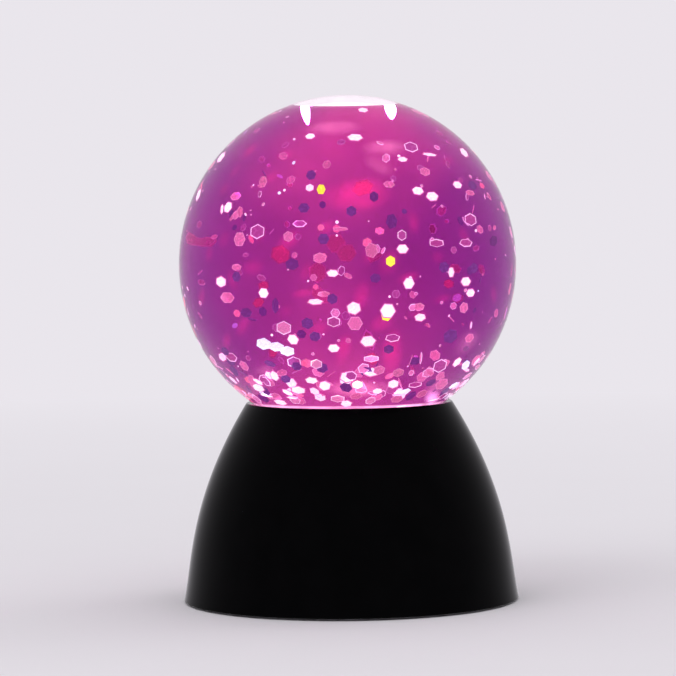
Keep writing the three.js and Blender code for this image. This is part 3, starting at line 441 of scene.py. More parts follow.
def foil(name, colour, glow, glow_colour):
    """Glitter foil, lit by the lamp: tinted metal film with a crinkled sheen, and a painted glow."""
    # Painted light: the glow stands for the lamp's light that a flake catches. Each kind of flake is a lit or
    # shaded copy of this one foil, and a darker colour is painted shade.
    made = Finish(name, Metallic=0.6, Emission_Strength=glow, Emission_Color=(*glow_colour, 1))
    roughness = 0.25
    made.mottle(1.5 * MM, shade(colour, 0.75), shade(colour, 1.15))
    made.wear(1 * MM, roughness * 0.6, roughness * 1.5)
    made.bump(made.noise(0.8 * MM, 2), 0.03 * MM)
    return made.material


def coated_board():
    """Green solder mask with a faint weave of the glass cloth under it."""
    made = Finish("board green")
    weave = made.node("ShaderNodeTexChecker", {"Vector": made.place}, Scale=1400).outputs["Fac"]
    made.feed("Base Color", made.ramp(weave, (0, (0.012, 0.12, 0.05)), (1, (0.016, 0.15, 0.065))))
    made.wear(2 * MM, 0.3, 0.45)
    made.bump(weave, 0.01 * MM, 0.2)
    return made.material


def wound_wire():
    """Enamelled copper wire wound upright: fine ridges, with a painted highlight on top and painted shade
    between.
    """
    made = Finish("copper winding", Metallic=1)
    lines = made.node("ShaderNodeTexWave", {"Vector": made.place}, Scale=400, Distortion=0.6)
    lines.bands_direction = "Z"
    ridges = lines.outputs["Fac"]
    # Painted highlight and shade: the colour follows the ridges' height, bright copper on top and dark brown
    # in the grooves.
    made.feed("Base Color", made.ramp(ridges, (0.2, (0.24, 0.06, 0.02)), (0.8, (0.62, 0.24, 0.09))))
    made.wear(1 * MM, 0.25, 0.4)
    made.bump(ridges, 0.06 * MM)
    return made.material


def cell_sleeve():
    """Shrunk plastic sleeve of a battery cell: dark blue and gold, with bare metal at both ends."""
    made = Finish("cell sleeve", Coat_Weight=0.6)
    along = made.node("ShaderNodeSeparateXYZ", {"Vector": made.place}).outputs["Y"]
    cell_end = 26 * MM
    made.feed("Base Color", made.ramp(
        made.spread(along, 0, 1, -cell_end, cell_end),
        (0.04, (0.55, 0.55, 0.56)), (0.06, (0.02, 0.08, 0.22)),
        (0.8, (0.025, 0.1, 0.26)), (0.82, (0.62, 0.42, 0.12)), (0.95, (0.66, 0.45, 0.14)),
        (0.97, (0.6, 0.6, 0.6))))
    made.wear(4 * MM, 0.22, 0.36)
    made.bump(made.noise(5 * MM), 0.05 * MM, 0.3)
    return made.material


def lens(name, colour, glow):
    """Tinted clear epoxy of a light-emitting diode, lit from inside."""
    made = Finish(
        name, Transmission_Weight=0.5, IOR=1.5, Emission_Strength=glow, Emission_Color=(*colour, 1))
    made.mottle(2 * MM, shade(colour, 0.8), colour)
    made.wear(1 * MM, 0.04, 0.1)
    return made.material


def clear_plastic():
    """Clear moulded plastic, slightly hazy."""
    made = Finish("clear plastic", Transmission_Weight=0.9, IOR=1.49)
    made.mottle(4 * MM, (0.9, 0.88, 0.92), (0.97, 0.96, 0.98))
    made.wear(2 * MM, 0.05, 0.14)
    made.bump(made.noise(1 * MM), 0.01 * MM, 0.3)
    return made.material


def slot_finishes(lamp):
    """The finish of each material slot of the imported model, and those of the flakes and the light."""
    return {
        "housing_gloss_black": gloss_black(),
        "globe_clear": glass(),
        "liquid_pink": liquid_finish(lamp),
        "haze": lit_haze([
            (lamp.beam_colour, lamp.beam_strength, -3 * MM, 23 * MM, (0.05, 0.06), (0.12, 0.14)),
            (lamp.crown_colour, lamp.crown_strength, 3 * MM, 26 * MM, (0.108, 0.135), (0.15, 0.16)),
            (lamp.pool_colour, lamp.pool_strength, 2 * MM, 24 * MM, (0.04, 0.05), (0.062, 0.088)),
        ]),
        "glint": glint("glint", (1, 0.75, 0.88), 480),
        "rim_line": glint("bright line at the rim", (1, 0.5, 0.75), 300),
        "shine": glint("bubble shine", (1, 0.66, 0.86), 32, 4 * MM),
        "stray_hot": glint("hot pink light in the liquid", (1, 0.04, 0.16), 75),
        "stray_pale": glint("pale light in the liquid", (1, 0.5, 0.55), 60),
        # The flakes' foils below are one silver foil in lit and shaded copies. Their glows and colours are
        # painted light and painted shade, and the spark is a painted yellow glint.
        "glitter_foil": foil("glitter foil with painted glow", (0.9, 0.85, 0.88), 1, (1, 0.86, 0.95)),
        "lit": foil("lit foil", (0.9, 0.85, 0.88), 1.6, (0.85, 1, 0.88)),
        "blue": foil("foil lit bluish white", (0.8, 0.9, 0.9), 1.7, (0.6, 1, 0.9)),
        "glow": foil("glowing foil", (0.7, 0.2, 0.3), 1.35, (0.9, 0.16, 0.3)),
        "pink": foil("foil lit pink", (0.6, 0.25, 0.45), 1.25, (0.68, 0.25, 0.4)),
        "salmon": foil("foil lit salmon", (0.5, 0.12, 0.3), 1.2, (0.62, 0.17, 0.32)),
        "faint": foil("faintly lit foil", (0.2, 0.05, 0.18), 1.2, (0.42, 0.07, 0.26)),
        "dark": foil("unlit foil", (0.08, 0.03, 0.14), 1.2, (0.16, 0.035, 0.19)),
        "edge": foil("lit edge of the foil", (0.9, 0.7, 0.85), 1.1, (0.95, 0.75, 0.85)),
        "dim_edge": foil("dim edge of the foil", (0.5, 0.25, 0.45), 1.1, (0.55, 0.17, 0.4)),
        "spark": foil("foil with a painted yellow glint", (0.9, 0.8, 0.1), 1.5, (0.85, 1, 0.05)),
        "clear_plastic": clear_plastic(),
        "plastic_black": moulded("satin black plastic", (0.024, 0.024, 0.026), 0.4),
        "plastic_white": moulded("white plastic", (0.68, 0.68, 0.66), 0.38),
        "rubber_black": moulded("black rubber", (0.04, 0.04, 0.041), 0.85, depth=0.05 * MM),
        "steel": metal("zinc-plated steel", (0.56, 0.57, 0.6), 0.3),
        "contact_nickel": metal("nickel-plated spring steel", (0.66, 0.64, 0.58), 0.2),
        "magnet_nickel": metal("nickel-plated magnet", (0.5, 0.51, 0.53), 0.28),
        "ferrite": moulded("ferrite", (0.035, 0.032, 0.034), 0.6, 0.25 * MM, 0.04 * MM),
        "winding_copper": wound_wire(),
        "cell_jacket": cell_sleeve(),
        "board_green": coated_board(),
        "chip_black": moulded("chip black", (0.012, 0.012, 0.013), 0.5, 0.15 * MM),
        "lens_red": lens("red lens", (0.9, 0.08, 0.06), 2.5),
        "lens_green": lens("green lens", (0.06, 0.8, 0.2), 0.3),
        "lens_blue": lens("blue lens", (0.08, 0.16, 0.95), 1.5),
        "wire_red": moulded("red wire", (0.42, 0.02, 0.02), 0.45),
        "wire_black": moulded("black wire", (0.014, 0.014, 0.014), 0.45),
        "wire_white": moulded("white wire", (0.6, 0.6, 0.58), 0.45),
    }


def length_setting(name, description, default, least):
    """A length that a user can set, in metres."""
    return bpy.props.FloatProperty(
        name=name, description=description, default=default, min=least, subtype="DISTANCE", unit="LENGTH")


def colour_setting(name, description, default):
    """A colour that a user can set."""
    return bpy.props.FloatVectorProperty(
        name=name, description=description, default=default, min=0, max=1, subtype="COLOR")


def strength_setting(name, description, default):
    """A strength that a user can set."""
    return bpy.props.FloatProperty(name=name, description=description, default=default, min=0)


def count_setting(name, description, default):
    """A number of pieces that a user can set."""
    return bpy.props.IntProperty(name=name, description=description, default=default, min=0)


class LampSettings(bpy.types.PropertyGroup):
    """Sizes and colours of the lamp's looks."""

    glass_wall: length_setting("Glass wall", "Thickness of the globe's glass", 2 * MM, 0.5 * MM)
    liquid_colour: colour_setting("Liquid colour", "Colour that the liquid lets through", (0.675, 0, 0.685))
    liquid_density: strength_setting(
        "Liquid tint", "How strongly the liquid takes up light, per metre", 40)
    beam_colour: colour_setting("Beam colour", "Colour of the light beam in the liquid", (1, 0.36, 0.3))
    beam_strength: strength_setting("Beam strength", "Light of the beam, for each metre of its depth", 12.8)
    crown_colour: colour_setting(
        "Crown colour", "Colour of the light under the liquid's top", (1, 0.14, 0.14))
    crown_strength: strength_setting(
        "Crown strength", "Light under the liquid's top, for each metre of its depth", 14)
    pool_colour: colour_setting("Pool colour", "Colour of the light over the globe's neck", (1, 0.2, 0.14))
    pool_strength: strength_setting(
        "Pool strength", "Light over the globe's neck, for each metre of its depth", 9.5)
    flake_across: length_setting("Flake width", "Glitter flake, across its flats", 3.2 * MM, 0.5 * MM)
    flake_thickness: length_setting("Flake thickness", "Thickness of a glitter flake", 0.2 * MM, 0.02 * MM)
    loose_flakes: count_setting("Loose flakes", "Glitter flakes besides those that the photo shows", 260)
    settled_flakes: count_setting("Settled flakes", "Glitter flakes that lie low in the globe", 200)
    specks: count_setting("Specks", "Specks of finer glitter", 170)
    dim_flakes: count_setting("Dim flakes", "Small and mostly dim flakes at the front", 110)
    floor_colour: colour_setting(
        "Floor colour", "Colour of the studio's floor and background", (0.82, 0.79, 0.84))


# Housing

# Its outline is a curve from the foot to the rim, with a straight handle at each end. A handle's
# height is a share of the whole, and it leans inwards by this much for each unit of height
FOOT_RADIUS, FOOT_HEIGHT = 49.8 * MM, 0.6 * MM
FOOT_LEAN, FOOT_HANDLE = 0.22, 0.2
RIM_RADIUS, RIM_HEIGHT = 30.55 * MM, 59.1 * MM
RIM_LEAN, RIM_HANDLE = 0.62, 0.48
HOUSING_WALL = 2.2 * MM
# The globe's seat is part of a ball round the globe's middle. Its hole lets the neck through, and
# the ceiling is its flat underside
SEAT_BALL = 50.3 * MM
SEAT_MOUTH = 29.1 * MM
SEAT_HOLE = 22 * MM
CEILING = 52.5 * MM
# The flat pad for the switch at the back, and the window in it
PAD_FACE, PAD_BACK = 48.606 * MM, 44.212 * MM
PAD_HALF, PAD_LOW, PAD_HIGH = 9 * MM, 9 * MM, 19 * MM
WINDOW_HALF, WINDOW_LOW, WINDOW_HIGH = 4.5 * MM, 11.75 * MM, 16.25 * MM
# A second row or column this close to an edge keeps the edge crisp
BESIDE = 0.15 * MM
# The hidden posts that the motor's plate hangs from, and the bosses for the cover's screws
POST_RADIUS, POST_LOW, POST_RING = 3 * MM, 33.9 * MM, 29 * MM
BOSS_RING = 40.5 * MM
BOSS_ANGLES = (-90, 29.9, 150.1)


def housing_curve(steps):
    """The housing's outline as a curve of four points p0 to p3, evaluated at shares s.

    (1-s)^3 p0 + 3s(1-s)^2 p1 + 3s^2(1-s) p2 + s^3 p3, as (radius, height), with its direction.
    """
    tall = RIM_HEIGHT - FOOT_HEIGHT
    low, high = FOOT_HANDLE * tall, RIM_HANDLE * tall
    ends = np.array([
        [FOOT_RADIUS, FOOT_HEIGHT], [FOOT_RADIUS - FOOT_LEAN * low, FOOT_HEIGHT + low],
        [RIM_RADIUS + RIM_LEAN * high, RIM_HEIGHT - high], [RIM_RADIUS, RIM_HEIGHT]])
    s = np.linspace(0, 1, steps)[:, None]
    weights = np.hstack([(1 - s) ** 3, 3 * s * (1 - s) ** 2, 3 * s**2 * (1 - s), s**3])
    slopes = np.hstack([
        -3 * (1 - s) ** 2, 3 * (1 - s) ** 2 - 6 * s * (1 - s), 6 * s * (1 - s) - 3 * s**2, 3 * s**2])
    return weights @ ends, slopes @ ends


def inside_curve(curve, slope, wall):
    """The radii of the inner side of a wall under the outline, measured level: r - wall / sin a.

    Here a is the outline's steepness.
    """
    return curve[:, 0] - wall * np.hypot(slope[:, 0], slope[:, 1]) / slope[:, 1]


def housing_profile():
    """The housing's profile: up the outline, over the rim, through the seat and down the inside.

    Up to above the pad, both walls have their rows at the same heights. Gives the profile, how
    many rows the outer wall has, and which row is the inner wall's lowest.
    """
    curve, slope = housing_curve(400)
    inner_radius = inside_curve(curve, slope, HOUSING_WALL)

    def on_wall(heights, radii):
        """Points of the profile at some heights, where the outline has these radii."""
        return np.stack([np.interp(heights, curve[:, 1], radii), heights], -1)

    def on_seat(radius):
        """The seat's height at a radius."""
        return GLOBE_MIDDLE[2] - np.sqrt(SEAT_BALL**2 - radius**2)

    lower = np.concatenate([
        np.linspace(FOOT_HEIGHT + 0.3 * MM, PAD_LOW - 0.6 * MM, 12),
        [PAD_LOW - BESIDE, PAD_LOW, WINDOW_LOW, WINDOW_LOW + BESIDE, (WINDOW_LOW + WINDOW_HIGH) / 2],
        [WINDOW_HIGH - BESIDE, WINDOW_HIGH, PAD_HIGH, PAD_HIGH + BESIDE]])
    over_pad = PAD_HIGH + 1 * MM
    outer = on_wall(np.append(lower, np.linspace(over_pad, RIM_HEIGHT - 0.7 * MM, 44)), curve[:, 0])
    inner = on_wall(np.append(lower, np.linspace(over_pad, CEILING - 0.9 * MM, 30)), inner_radius)
    lip = SEAT_MOUTH - 0.7 * MM
    rim = eased([
        outer[-1], [RIM_RADIUS, RIM_HEIGHT], [SEAT_MOUTH, on_seat(SEAT_MOUTH) + 0.05 * MM],
        [lip, on_seat(lip)]], 0.35 * MM, 5)[1:]
    seat_radii = np.linspace(lip - 0.4 * MM, SEAT_HOLE + 0.4 * MM, 16)
    bowl = np.stack([seat_radii, on_seat(seat_radii)], -1)
    hole = eased([
        bowl[-1], [SEAT_HOLE, on_seat(SEAT_HOLE)], [SEAT_HOLE, CEILING], [SEAT_HOLE + 1 * MM, CEILING]],
        0.3 * MM, 3)[1:]
    ceiling = eased([
        [SEAT_HOLE + 2 * MM, CEILING], on_wall(CEILING, inner_radius), inner[-1]], 0.5 * MM)[:-1]
    foot = eased([
        inner[0], on_wall(FOOT_HEIGHT, inner_radius), [FOOT_RADIUS, FOOT_HEIGHT], outer[0]],
        0.25 * MM)[1:-1]
    profile = np.vstack([outer, rim, bowl, hole, ceiling, inner[::-1], foot])
    return profile, len(outer), len(profile) - len(foot) - 1


def housing_surface():
    """The housing's shell, as rows of its turned profile and columns round it.

    The columns of the back stay at fixed x, so that the switch's flat pad and its window come
    out square; from there on the angle goes evenly round the front. On the pad's rows, y is the
    pad's face outside and its back inside. The window's quads are left out of both walls, and
    four short walls join their edges.
    """
    profile, outer_rows, inner_foot = housing_profile()
    side = np.array([
        WINDOW_HALF, WINDOW_HALF + BESIDE, 6.8 * MM, PAD_HALF - BESIDE, PAD_HALF, PAD_HALF + BESIDE])
    window = np.linspace(-1, 1, 9) * (WINDOW_HALF - 0.3 * MM)
    radius, height = profile[:, :1], profile[:, 1:]
    back = np.arcsin(np.concatenate([-side[::-1], window, side]) / radius)
    start = np.arcsin((PAD_HALF + 0.6 * MM) / radius)
    round_front = start + (TURN - 2 * start) * np.linspace(0, 1, 241)
    angle = np.hstack([back, round_front])
    x, y = radius * np.sin(angle), radius * np.cos(angle)
    spare = 0.05 * MM
    on_rows = (height > PAD_LOW - spare) & (height < PAD_HIGH + spare)
    on_pad = on_rows & (np.abs(x) < PAD_HALF + spare) & (y > 0)
    outside = np.arange(len(profile))[:, None] < outer_rows
    y = np.where(on_pad, np.where(outside, PAD_FACE, PAD_BACK), y)
    points = np.stack([x, y, np.broadcast_to(height, x.shape)], -1)

    rows, columns = x.shape
    # Columns run clockwise as seen from above, so each quad is turned over.
    quads = grid_faces(rows, columns, loop_rows=True)[:, ::-1]
    first, last = np.searchsorted(profile[:outer_rows, 1], [WINDOW_LOW, WINDOW_HIGH])
    inner_low, inner_high = inner_foot - first, inner_foot - last
    left, right = len(side) - 1, len(side) + len(window)
    r, c = np.unravel_index(quads[:, 3], (rows, columns))
    in_columns = (c >= left) & (c < right)
    gone = in_columns & (((r >= first) & (r < last)) | ((r >= inner_high) & (r < inner_low)))
    quads = quads[~gone]

    def border(low, high):
        """The window's edge in one wall, from its row `low` to its row `high` and back."""
        step = 1 if high > low else -1
        up = np.arange(low, high, step)
        along = np.arange(left, right)
        return np.concatenate([
            low * columns + along, up * columns + right,
            high * columns + along[::-1] + 1, (up[::-1] + step) * columns + left])

    out, into = border(first, last), border(inner_low, inner_high)
    walls = np.stack([into, np.roll(into, -1), np.roll(out, -1), out], -1)
    return points.reshape(-1, 3), [quads, walls]


def upright_bar(radius, low, high, middle):
    """A closed upright bar with eased edges."""
    outline = eased([[0, low], [radius, low], [radius, high], [0, high]], 0.25 * MM, 3)
    return turned(outline, 32, middle)


def cover_boss(angle):
    """A boss of the housing for a screw of the cover: an upright tube with a rib to the wall.

    At each height the rib runs from the tube to half a millimetre inside the wall.
    """
    a = np.radians(angle)
    along, across = np.array([np.cos(a), np.sin(a)]), np.array([-np.sin(a), np.cos(a)])
    low, high = 3.9 * MM, 24 * MM
    bore, radius = 1.55 * MM, 3.25 * MM
    outline = eased([[bore, high], [bore, low], [radius, low], [radius, high]], 0.2 * MM, 2)
    tube = turned(outline, 32, along * BOSS_RING)
    curve, slope = housing_curve(60)
    heights = np.linspace(low, high - 0.1 * MM, 12)
    far = np.interp(heights, curve[:, 1], inside_curve(curve, slope, HOUSING_WALL - 0.5 * MM))[:, None]
    near = np.full_like(far, BOSS_RING + 1.9 * MM)
    half = 0.8 * MM * across
    flat = np.stack([near * along - half, far * along - half, far * along + half, near * along + half], 1)
    levels = np.broadcast_to(heights[:, None, None], (*flat.shape[:2], 1))
    return joined(tube, lofted(np.concatenate([flat, levels], -1)))


def ring_places(count, radius, first):
    """Places spaced evenly round the axis, the first one at this angle in degrees."""
    a = np.radians(first) + np.arange(count) * TURN / count
    return np.stack([radius * np.cos(a), radius * np.sin(a)], -1)


class LAMP_OT_finishes(bpy.types.Operator):
    """Makes the finishes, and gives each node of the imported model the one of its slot"""

    bl_idname = "lamp.finishes"
    bl_label = "Finishes"

    def execute(self, context):
        for slot, material in slot_finishes(context.scene.glitter_lamp).items():
            named = context.scene.glitter_lamp_finishes.add()
            named.name, named.finish = slot, material.name
        for part in frame["record"]["subparts"]:
            node = frame["nodes"][part["node"]]
            for held in node.material_slots:
                held.material = finish_of(part["material_slot"])
        return {"FINISHED"}


class LAMP_OT_housing(bpy.types.Operator):
    """Builds the gloss-black housing, with its seat, switch pad, window and hidden posts"""

    bl_idname = "lamp.housing"
    bl_label = "Housing"

    def execute(self, context):
        posts = [
            upright_bar(POST_RADIUS, POST_LOW, CEILING + 0.5 * MM, place)
            for place in ring_places(3, POST_RING, -90)]
        bosses = [cover_boss(angle) for angle in BOSS_ANGLES]
        shell = joined(housing_surface(), *posts, *bosses)
        put("housing", shell, "root", "housing_gloss_black", ["base_housing"])
        return {"FINISHED"}


# Globe

NECK_RADIUS, NECK_END = 17 * MM, 45 * MM
LIQUID_FLOOR = 49.52 * MM
# How far the liquid reaches into the glass, so that no air shows between them
OVERLAP = 0.05 * MM


def globe_surface(wall):
    """The blown ball and its neck: a turned profile, down the inside and up the outside."""
    outside, inside = GLOBE_RADIUS, GLOBE_RADIUS - wall
    middle, bore = GLOBE_MIDDLE[2], NECK_RADIUS - wall
    inner = arc(inside, middle, np.pi, np.arcsin(bore / inside), 90)
    outer = arc(outside, middle, np.arcsin(NECK_RADIUS / outside), np.pi, 90)
    inner[0, 0] = outer[-1, 0] = 0
    lip = eased([inner[-1], [bore, NECK_END], [NECK_RADIUS, NECK_END], outer[0]], 0.8 * MM)[1:-1]
    return turned(np.vstack([inner, lip, outer]), 180)


def liquid_surface(wall):
    """The liquid: a ball with its foot in the neck, and a top that creeps up at the glass.

    The top's height above the still level is rise times exp(-(R - r) / rise) at the radius r,
    where R is the radius at the glass.
    """
    radius, bore = GLOBE_RADIUS - wall + OVERLAP, NECK_RADIUS - wall + OVERLAP
    middle, rise = GLOBE_MIDDLE[2], 0.9 * MM
    top = np.pi - np.arccos((LIQUID_TOP + rise - middle) / radius)
    side = arc(radius, middle, np.arcsin(bore / radius), top, 120)
    across = np.linspace(side[-1, 0], 0, 50)[1:]
    level = LIQUID_TOP + rise * np.exp((across - side[-1, 0]) / rise)
    foot = [[0, LIQUID_FLOOR], [bore, LIQUID_FLOOR]]
    return turned(np.vstack([foot, side, np.stack([across, level], -1)]), 180)


def haze_surface():
    """The lit part of the liquid: a ball inside it, with a flat top and bottom."""
    radius, cut_low, cut_high = 45.5 * MM, np.radians(14), np.radians(166)
    side = arc(radius, GLOBE_MIDDLE[2], cut_low, cut_high, 40)
    return turned(np.vstack([[[0, side[0, 1]]], side, [[0, side[-1, 1]]]]), 64)


def rim_light_surface():
    """The bright line where the globe enters the rim: light that the wall of the glass carries."""
    heights = np.linspace(58.9, 59.9, 5) * MM
    in_glass = (49.92 * MM, 48.1 * MM)
    outer, inner = [np.stack([across_ball(reach, heights), heights], -1) for reach in in_glass]
    return turned(np.vstack([outer, inner[::-1]]), 120)


def bubble_light_surface():
    """The shine of the bubble and of the glass over it: a cap over the liquid."""
    heights = np.linspace(145.6, 149.7, 12) * MM
    outer = np.stack([across_ball(49.85 * MM, heights), heights], -1)
    return turned(np.vstack([[[0, heights[0]]], outer, [[0, 149.8 * MM]]]), 96)


# Drops of light that hang down in the liquid from the bubble's edge: each one's start and end as
# they are seen, across and up from the globe's middle, and half its width, in millimetres
DRIPS = [((-12.9, 48), (-11.5, 40.3), 1.2), ((12.3, 48), (12.9, 42), 1.6)]
# A bright spot beside the rim, laid out like the soft patches of light below. The ball squeezes
# it towards its edge, so it is longer in that direction than it shows
RIM_SPOT = [(25.2, -39.4, 3, 4.2, 32)]
RIM_SPOT_DEPTH = 42.5 * MM


def drip_surface(start, end, reach):
    """A drop of light that hangs down in the liquid, from one seen place to another.

    At the share s of its way it is 46.3 - 9.3 s millimetres from the globe's middle, its half
    width is reach * sin(pi s^0.7)^0.6, and its half depth is a third of that.
    """
    s = np.linspace(0.02, 0.98, 17)[:, None]
    seen = np.array(start) + (np.array(end) - np.array(start)) * s
    depth = (46.3 - 9.3 * s[:, 0]) * MM
    outwards, out = sight(seen * MM, depth)
    path = GLOBE_MIDDLE + outwards * depth[:, None]
    along = unit(np.gradient(path, axis=0))
    across = unit(np.cross(along, out))
    a = np.arange(12) * TURN / 12
    width = (reach * MM * np.sin(np.pi * s**0.7) ** 0.6)[..., None]
    rings = width * (np.cos(a)[:, None] * across[:, None] + np.sin(a)[:, None] / 3 * out[:, None])
    return lofted(path[:, None] + rings)


class LAMP_OT_globe(bpy.types.Operator):
    """Builds the clear ball of the globe, with its neck"""

    bl_idname = "lamp.globe"
    bl_label = "Globe"

    def execute(self, context):
        wall = context.scene.glitter_lamp.glass_wall
        put("globe", globe_surface(wall), "root", "globe_clear", ["globe_shell"])
        return {"FINISHED"}


class LAMP_OT_liquid(bpy.types.Operator):
    """Fills the globe with tinted liquid, and lights it from below"""

    bl_idname = "lamp.liquid"
    bl_label = "Liquid and its light"

    def execute(self, context):
        wall = context.scene.glitter_lamp.glass_wall
        put("liquid", liquid_surface(wall), "swirl", "liquid_pink", ["glitter_liquid"])
        shining = [drip_surface(*drip) for drip in DRIPS] + [stray_surface(RIM_SPOT, RIM_SPOT_DEPTH)]
        for name, surface, body, finish in (
            ("lit_liquid", haze_surface(), "swirl", "haze"),
            ("stray_hot", stray_surface(STRAY_HOT, STRAY_HOT_DEPTH), "swirl", "stray_hot"),
            ("stray_pale", stray_surface(STRAY_PALE, STRAY_PALE_DEPTH), "swirl", "stray_pale"),
            ("rim_light", rim_light_surface(), "root", "rim_line"),
            ("bubble_light", bubble_light_surface(), "root", "shine"),
            ("drip_light", joined(*shining), "swirl", "glint"),
        ):
            put(name, surface, body, "liquid_pink", finishes=[finish])
        return {"FINISHED"}


# Glitter

# An enlarged picture of the globe, from which the flakes' places were read: its pixels for
# a millimetre, and the globe's middle in it
PICTURE_SCALE = 13.9
PICTURE_MIDDLE = np.array([774.8, 798.3])
# Where it shows flakes, in its pixels: across and down, and the width and height of each one
# The kinds tell how the flakes look lit: each kind gets a copy of the one foil with painted light or painted
# shade
SHOWN_FLAKES = {
    "lit": [
        (258, 362, 40, 60), (165, 515, 15, 60), (268, 578, 18, 35), (265, 870, 55, 45), (440, 915, 45, 45),
        (625, 287, 35, 22), (805, 293, 80, 35), (838, 175, 30, 25), (1105, 358, 65, 25),
        (1250, 345, 45, 50), (995, 380, 35, 22), (1055, 508, 50, 35), (1113, 530, 55, 40),
        (1217, 480, 45, 35), (993, 740, 50, 40), (716, 835, 50, 30), (647, 950, 70, 30), (800, 975, 60, 55),
        (935, 985, 70, 70), (1065, 1013, 50, 35), (1250, 870, 50, 40), (1270, 915, 45, 35),
        (1190, 832, 30, 45), (857, 1108, 70, 55), (720, 1135, 50, 35), (775, 1255, 75, 65),
        (870, 1235, 85, 60), (815, 1285, 50, 40), (960, 1285, 50, 45), (630, 1268, 55, 25),
        (575, 1310, 65, 30), (550, 1345, 50, 25), (410, 1305, 60, 40), (445, 1340, 70, 30),
        (500, 1365, 60, 18), (1130, 1358, 65, 30), (120, 1000, 15, 40), (995, 1380, 50, 12),
    ],
    "blue": [
        (437, 1121, 64, 50), (488, 1132, 70, 46), (533, 1149, 61, 44),
    ],
    "pink": [
        (520, 1055, 65, 55), (870, 1178, 70, 20), (650, 1200, 50, 40), (735, 1345, 60, 25),
        (830, 1310, 50, 30), (985, 1330, 60, 25),
    ],
    "outlined": [
        (1130, 715, 65, 30), (585, 640, 55, 25), (1150, 1212, 65, 60), (415, 670, 90, 80),
        (990, 685, 35, 40), (955, 1095, 60, 35), (720, 1028, 55, 40), (1250, 715, 60, 30),
        (300, 1180, 60, 45), (560, 1195, 60, 50), (1050, 1290, 60, 35), (1030, 330, 60, 45),
        (1270, 620, 60, 50),
    ],
    "salmon": [
        (325, 527, 50, 32), (437, 470, 30, 50), (343, 590, 30, 45), (665, 775, 55, 40), (747, 660, 60, 15),
        (870, 745, 50, 60), (1085, 430, 45, 35), (940, 483, 45, 25), (1270, 512, 45, 25),
        (330, 812, 45, 25), (680, 918, 50, 20), (1060, 970, 45, 30), (1243, 975, 40, 45),
        (1270, 1100, 45, 40), (1160, 1290, 60, 60), (343, 700, 50, 60), (540, 690, 40, 40),
        (290, 935, 70, 50), (805, 1035, 60, 60),
    ],
    "dark": [
        (630, 445, 38, 42), (602, 577, 45, 40), (880, 532, 25, 30), (680, 700, 45, 45), (950, 630, 45, 60),
        (715, 937, 40, 40), (330, 850, 30, 35), (555, 800, 55, 45), (615, 1035, 50, 45),
        (645, 1088, 45, 40), (368, 995, 50, 40), (487, 965, 30, 60), (1160, 812, 45, 45),
        (1283, 815, 25, 30), (1190, 1090, 70, 65), (940, 1140, 40, 35), (885, 855, 35, 30),
        (275, 1155, 40, 35), (790, 590, 40, 40), (570, 1210, 40, 35), (525, 1265, 40, 35),
        (1280, 480, 45, 40),
    ],
    "spark": [
        (670, 503, 30, 40), (930, 1005, 40, 40), (945, 788, 25, 28),
    ],
}
# The middle's and the rim's finish of each kind of flake. All are copies of one foil with painted light:
# a rim lighter than its middle is a painted edge highlight, and a darker one is painted shade.
FLAKE_FINISHES = {
    "lit": ("lit", "pink"),
    "blue": ("blue", "blue"),
    "pink": ("pink", "edge"),
    "outlined": ("faint", "edge"),
    "salmon": ("salmon", "pink"),
    "dark": ("dark", "dark"),
    "spark": ("spark", "spark"),
    "glow": ("glow", "salmon"),
    "dim": ("faint", "dim_edge"),
}
# How often each kind comes among the flakes behind, the settled ones, the specks, and the dim
# flakes in front
BEHIND_SHARES = [0.08, 0, 0.13, 0.06, 0.33, 0.1, 0, 0.3, 0]
SETTLED_SHARES = [0.18, 0.02, 0.15, 0.07, 0.26, 0.18, 0, 0.08, 0.06]
SPECK_SHARES = [0.45, 0.05, 0.3, 0, 0.2, 0, 0, 0, 0]
FRONT_SHARES = [0.02, 0, 0.1, 0.05, 0.2, 0.2, 0, 0.05, 0.38]
GLITTER_SEED = 11
# The share of a flake's width that its middle takes; the rest is its rim
FLAKE_MIDDLE = 0.86
# The distance from the globe's middle at which a flake lies flat against the glass
FLAKE_DEPTH = 47.6 * MM
# In degrees from the globe's far point: the ring that the ball, as a lens, shows too large in front
LARGE_RING = (17, 38)


def flake_surface(centres, normals, spins, sizes, across, thickness):
    """Hexagonal flakes: corner k stands at spin + k/6 turn round the normal.

    Each face is a middle hexagon in a narrow rim. The points of a flake are the middle and the
    rim of its upper face, then the rim and the middle of its lower face.
    """
    helper = np.where(np.abs(normals[:, 2:]) > 0.9, [[1.0, 0, 0]], [[0, 0, 1.0]])
    a = unit(np.cross(helper, normals))
    b = np.cross(normals, a)
    turn = spins[:, None] + np.arange(6) * TURN / 6
    reach = sizes[:, None, None] * across / np.sqrt(3)
    spokes = reach * (np.cos(turn)[..., None] * a[:, None] + np.sin(turn)[..., None] * b[:, None])
    lift = (normals * thickness / 2)[:, None]
    middle = centres[:, None]
    points = np.concatenate([
        middle + FLAKE_MIDDLE * spokes + lift, middle + spokes + lift,
        middle + spokes - lift, middle + FLAKE_MIDDLE * spokes - lift], 1)
    k, after = np.arange(6), (np.arange(6) + 1) % 6
    band = np.concatenate([
        np.stack([6 + k, 6 + after, after, k], -1),
        np.stack([12 + k, 12 + after, 6 + after, 6 + k], -1),
        np.stack([12 + after, 12 + k, 18 + k, 18 + after], -1)])
    faces = np.stack([k, 23 - k])
    starts = 24 * np.arange(len(centres))[:, None, None]
    tables = [(band + starts).reshape(-1, 4), (faces + starts).reshape(-1, 6)]
    picked = np.concatenate([np.ones(len(tables[0])), np.zeros(len(tables[1]))])
    return (points.reshape(-1, 3), tables), picked


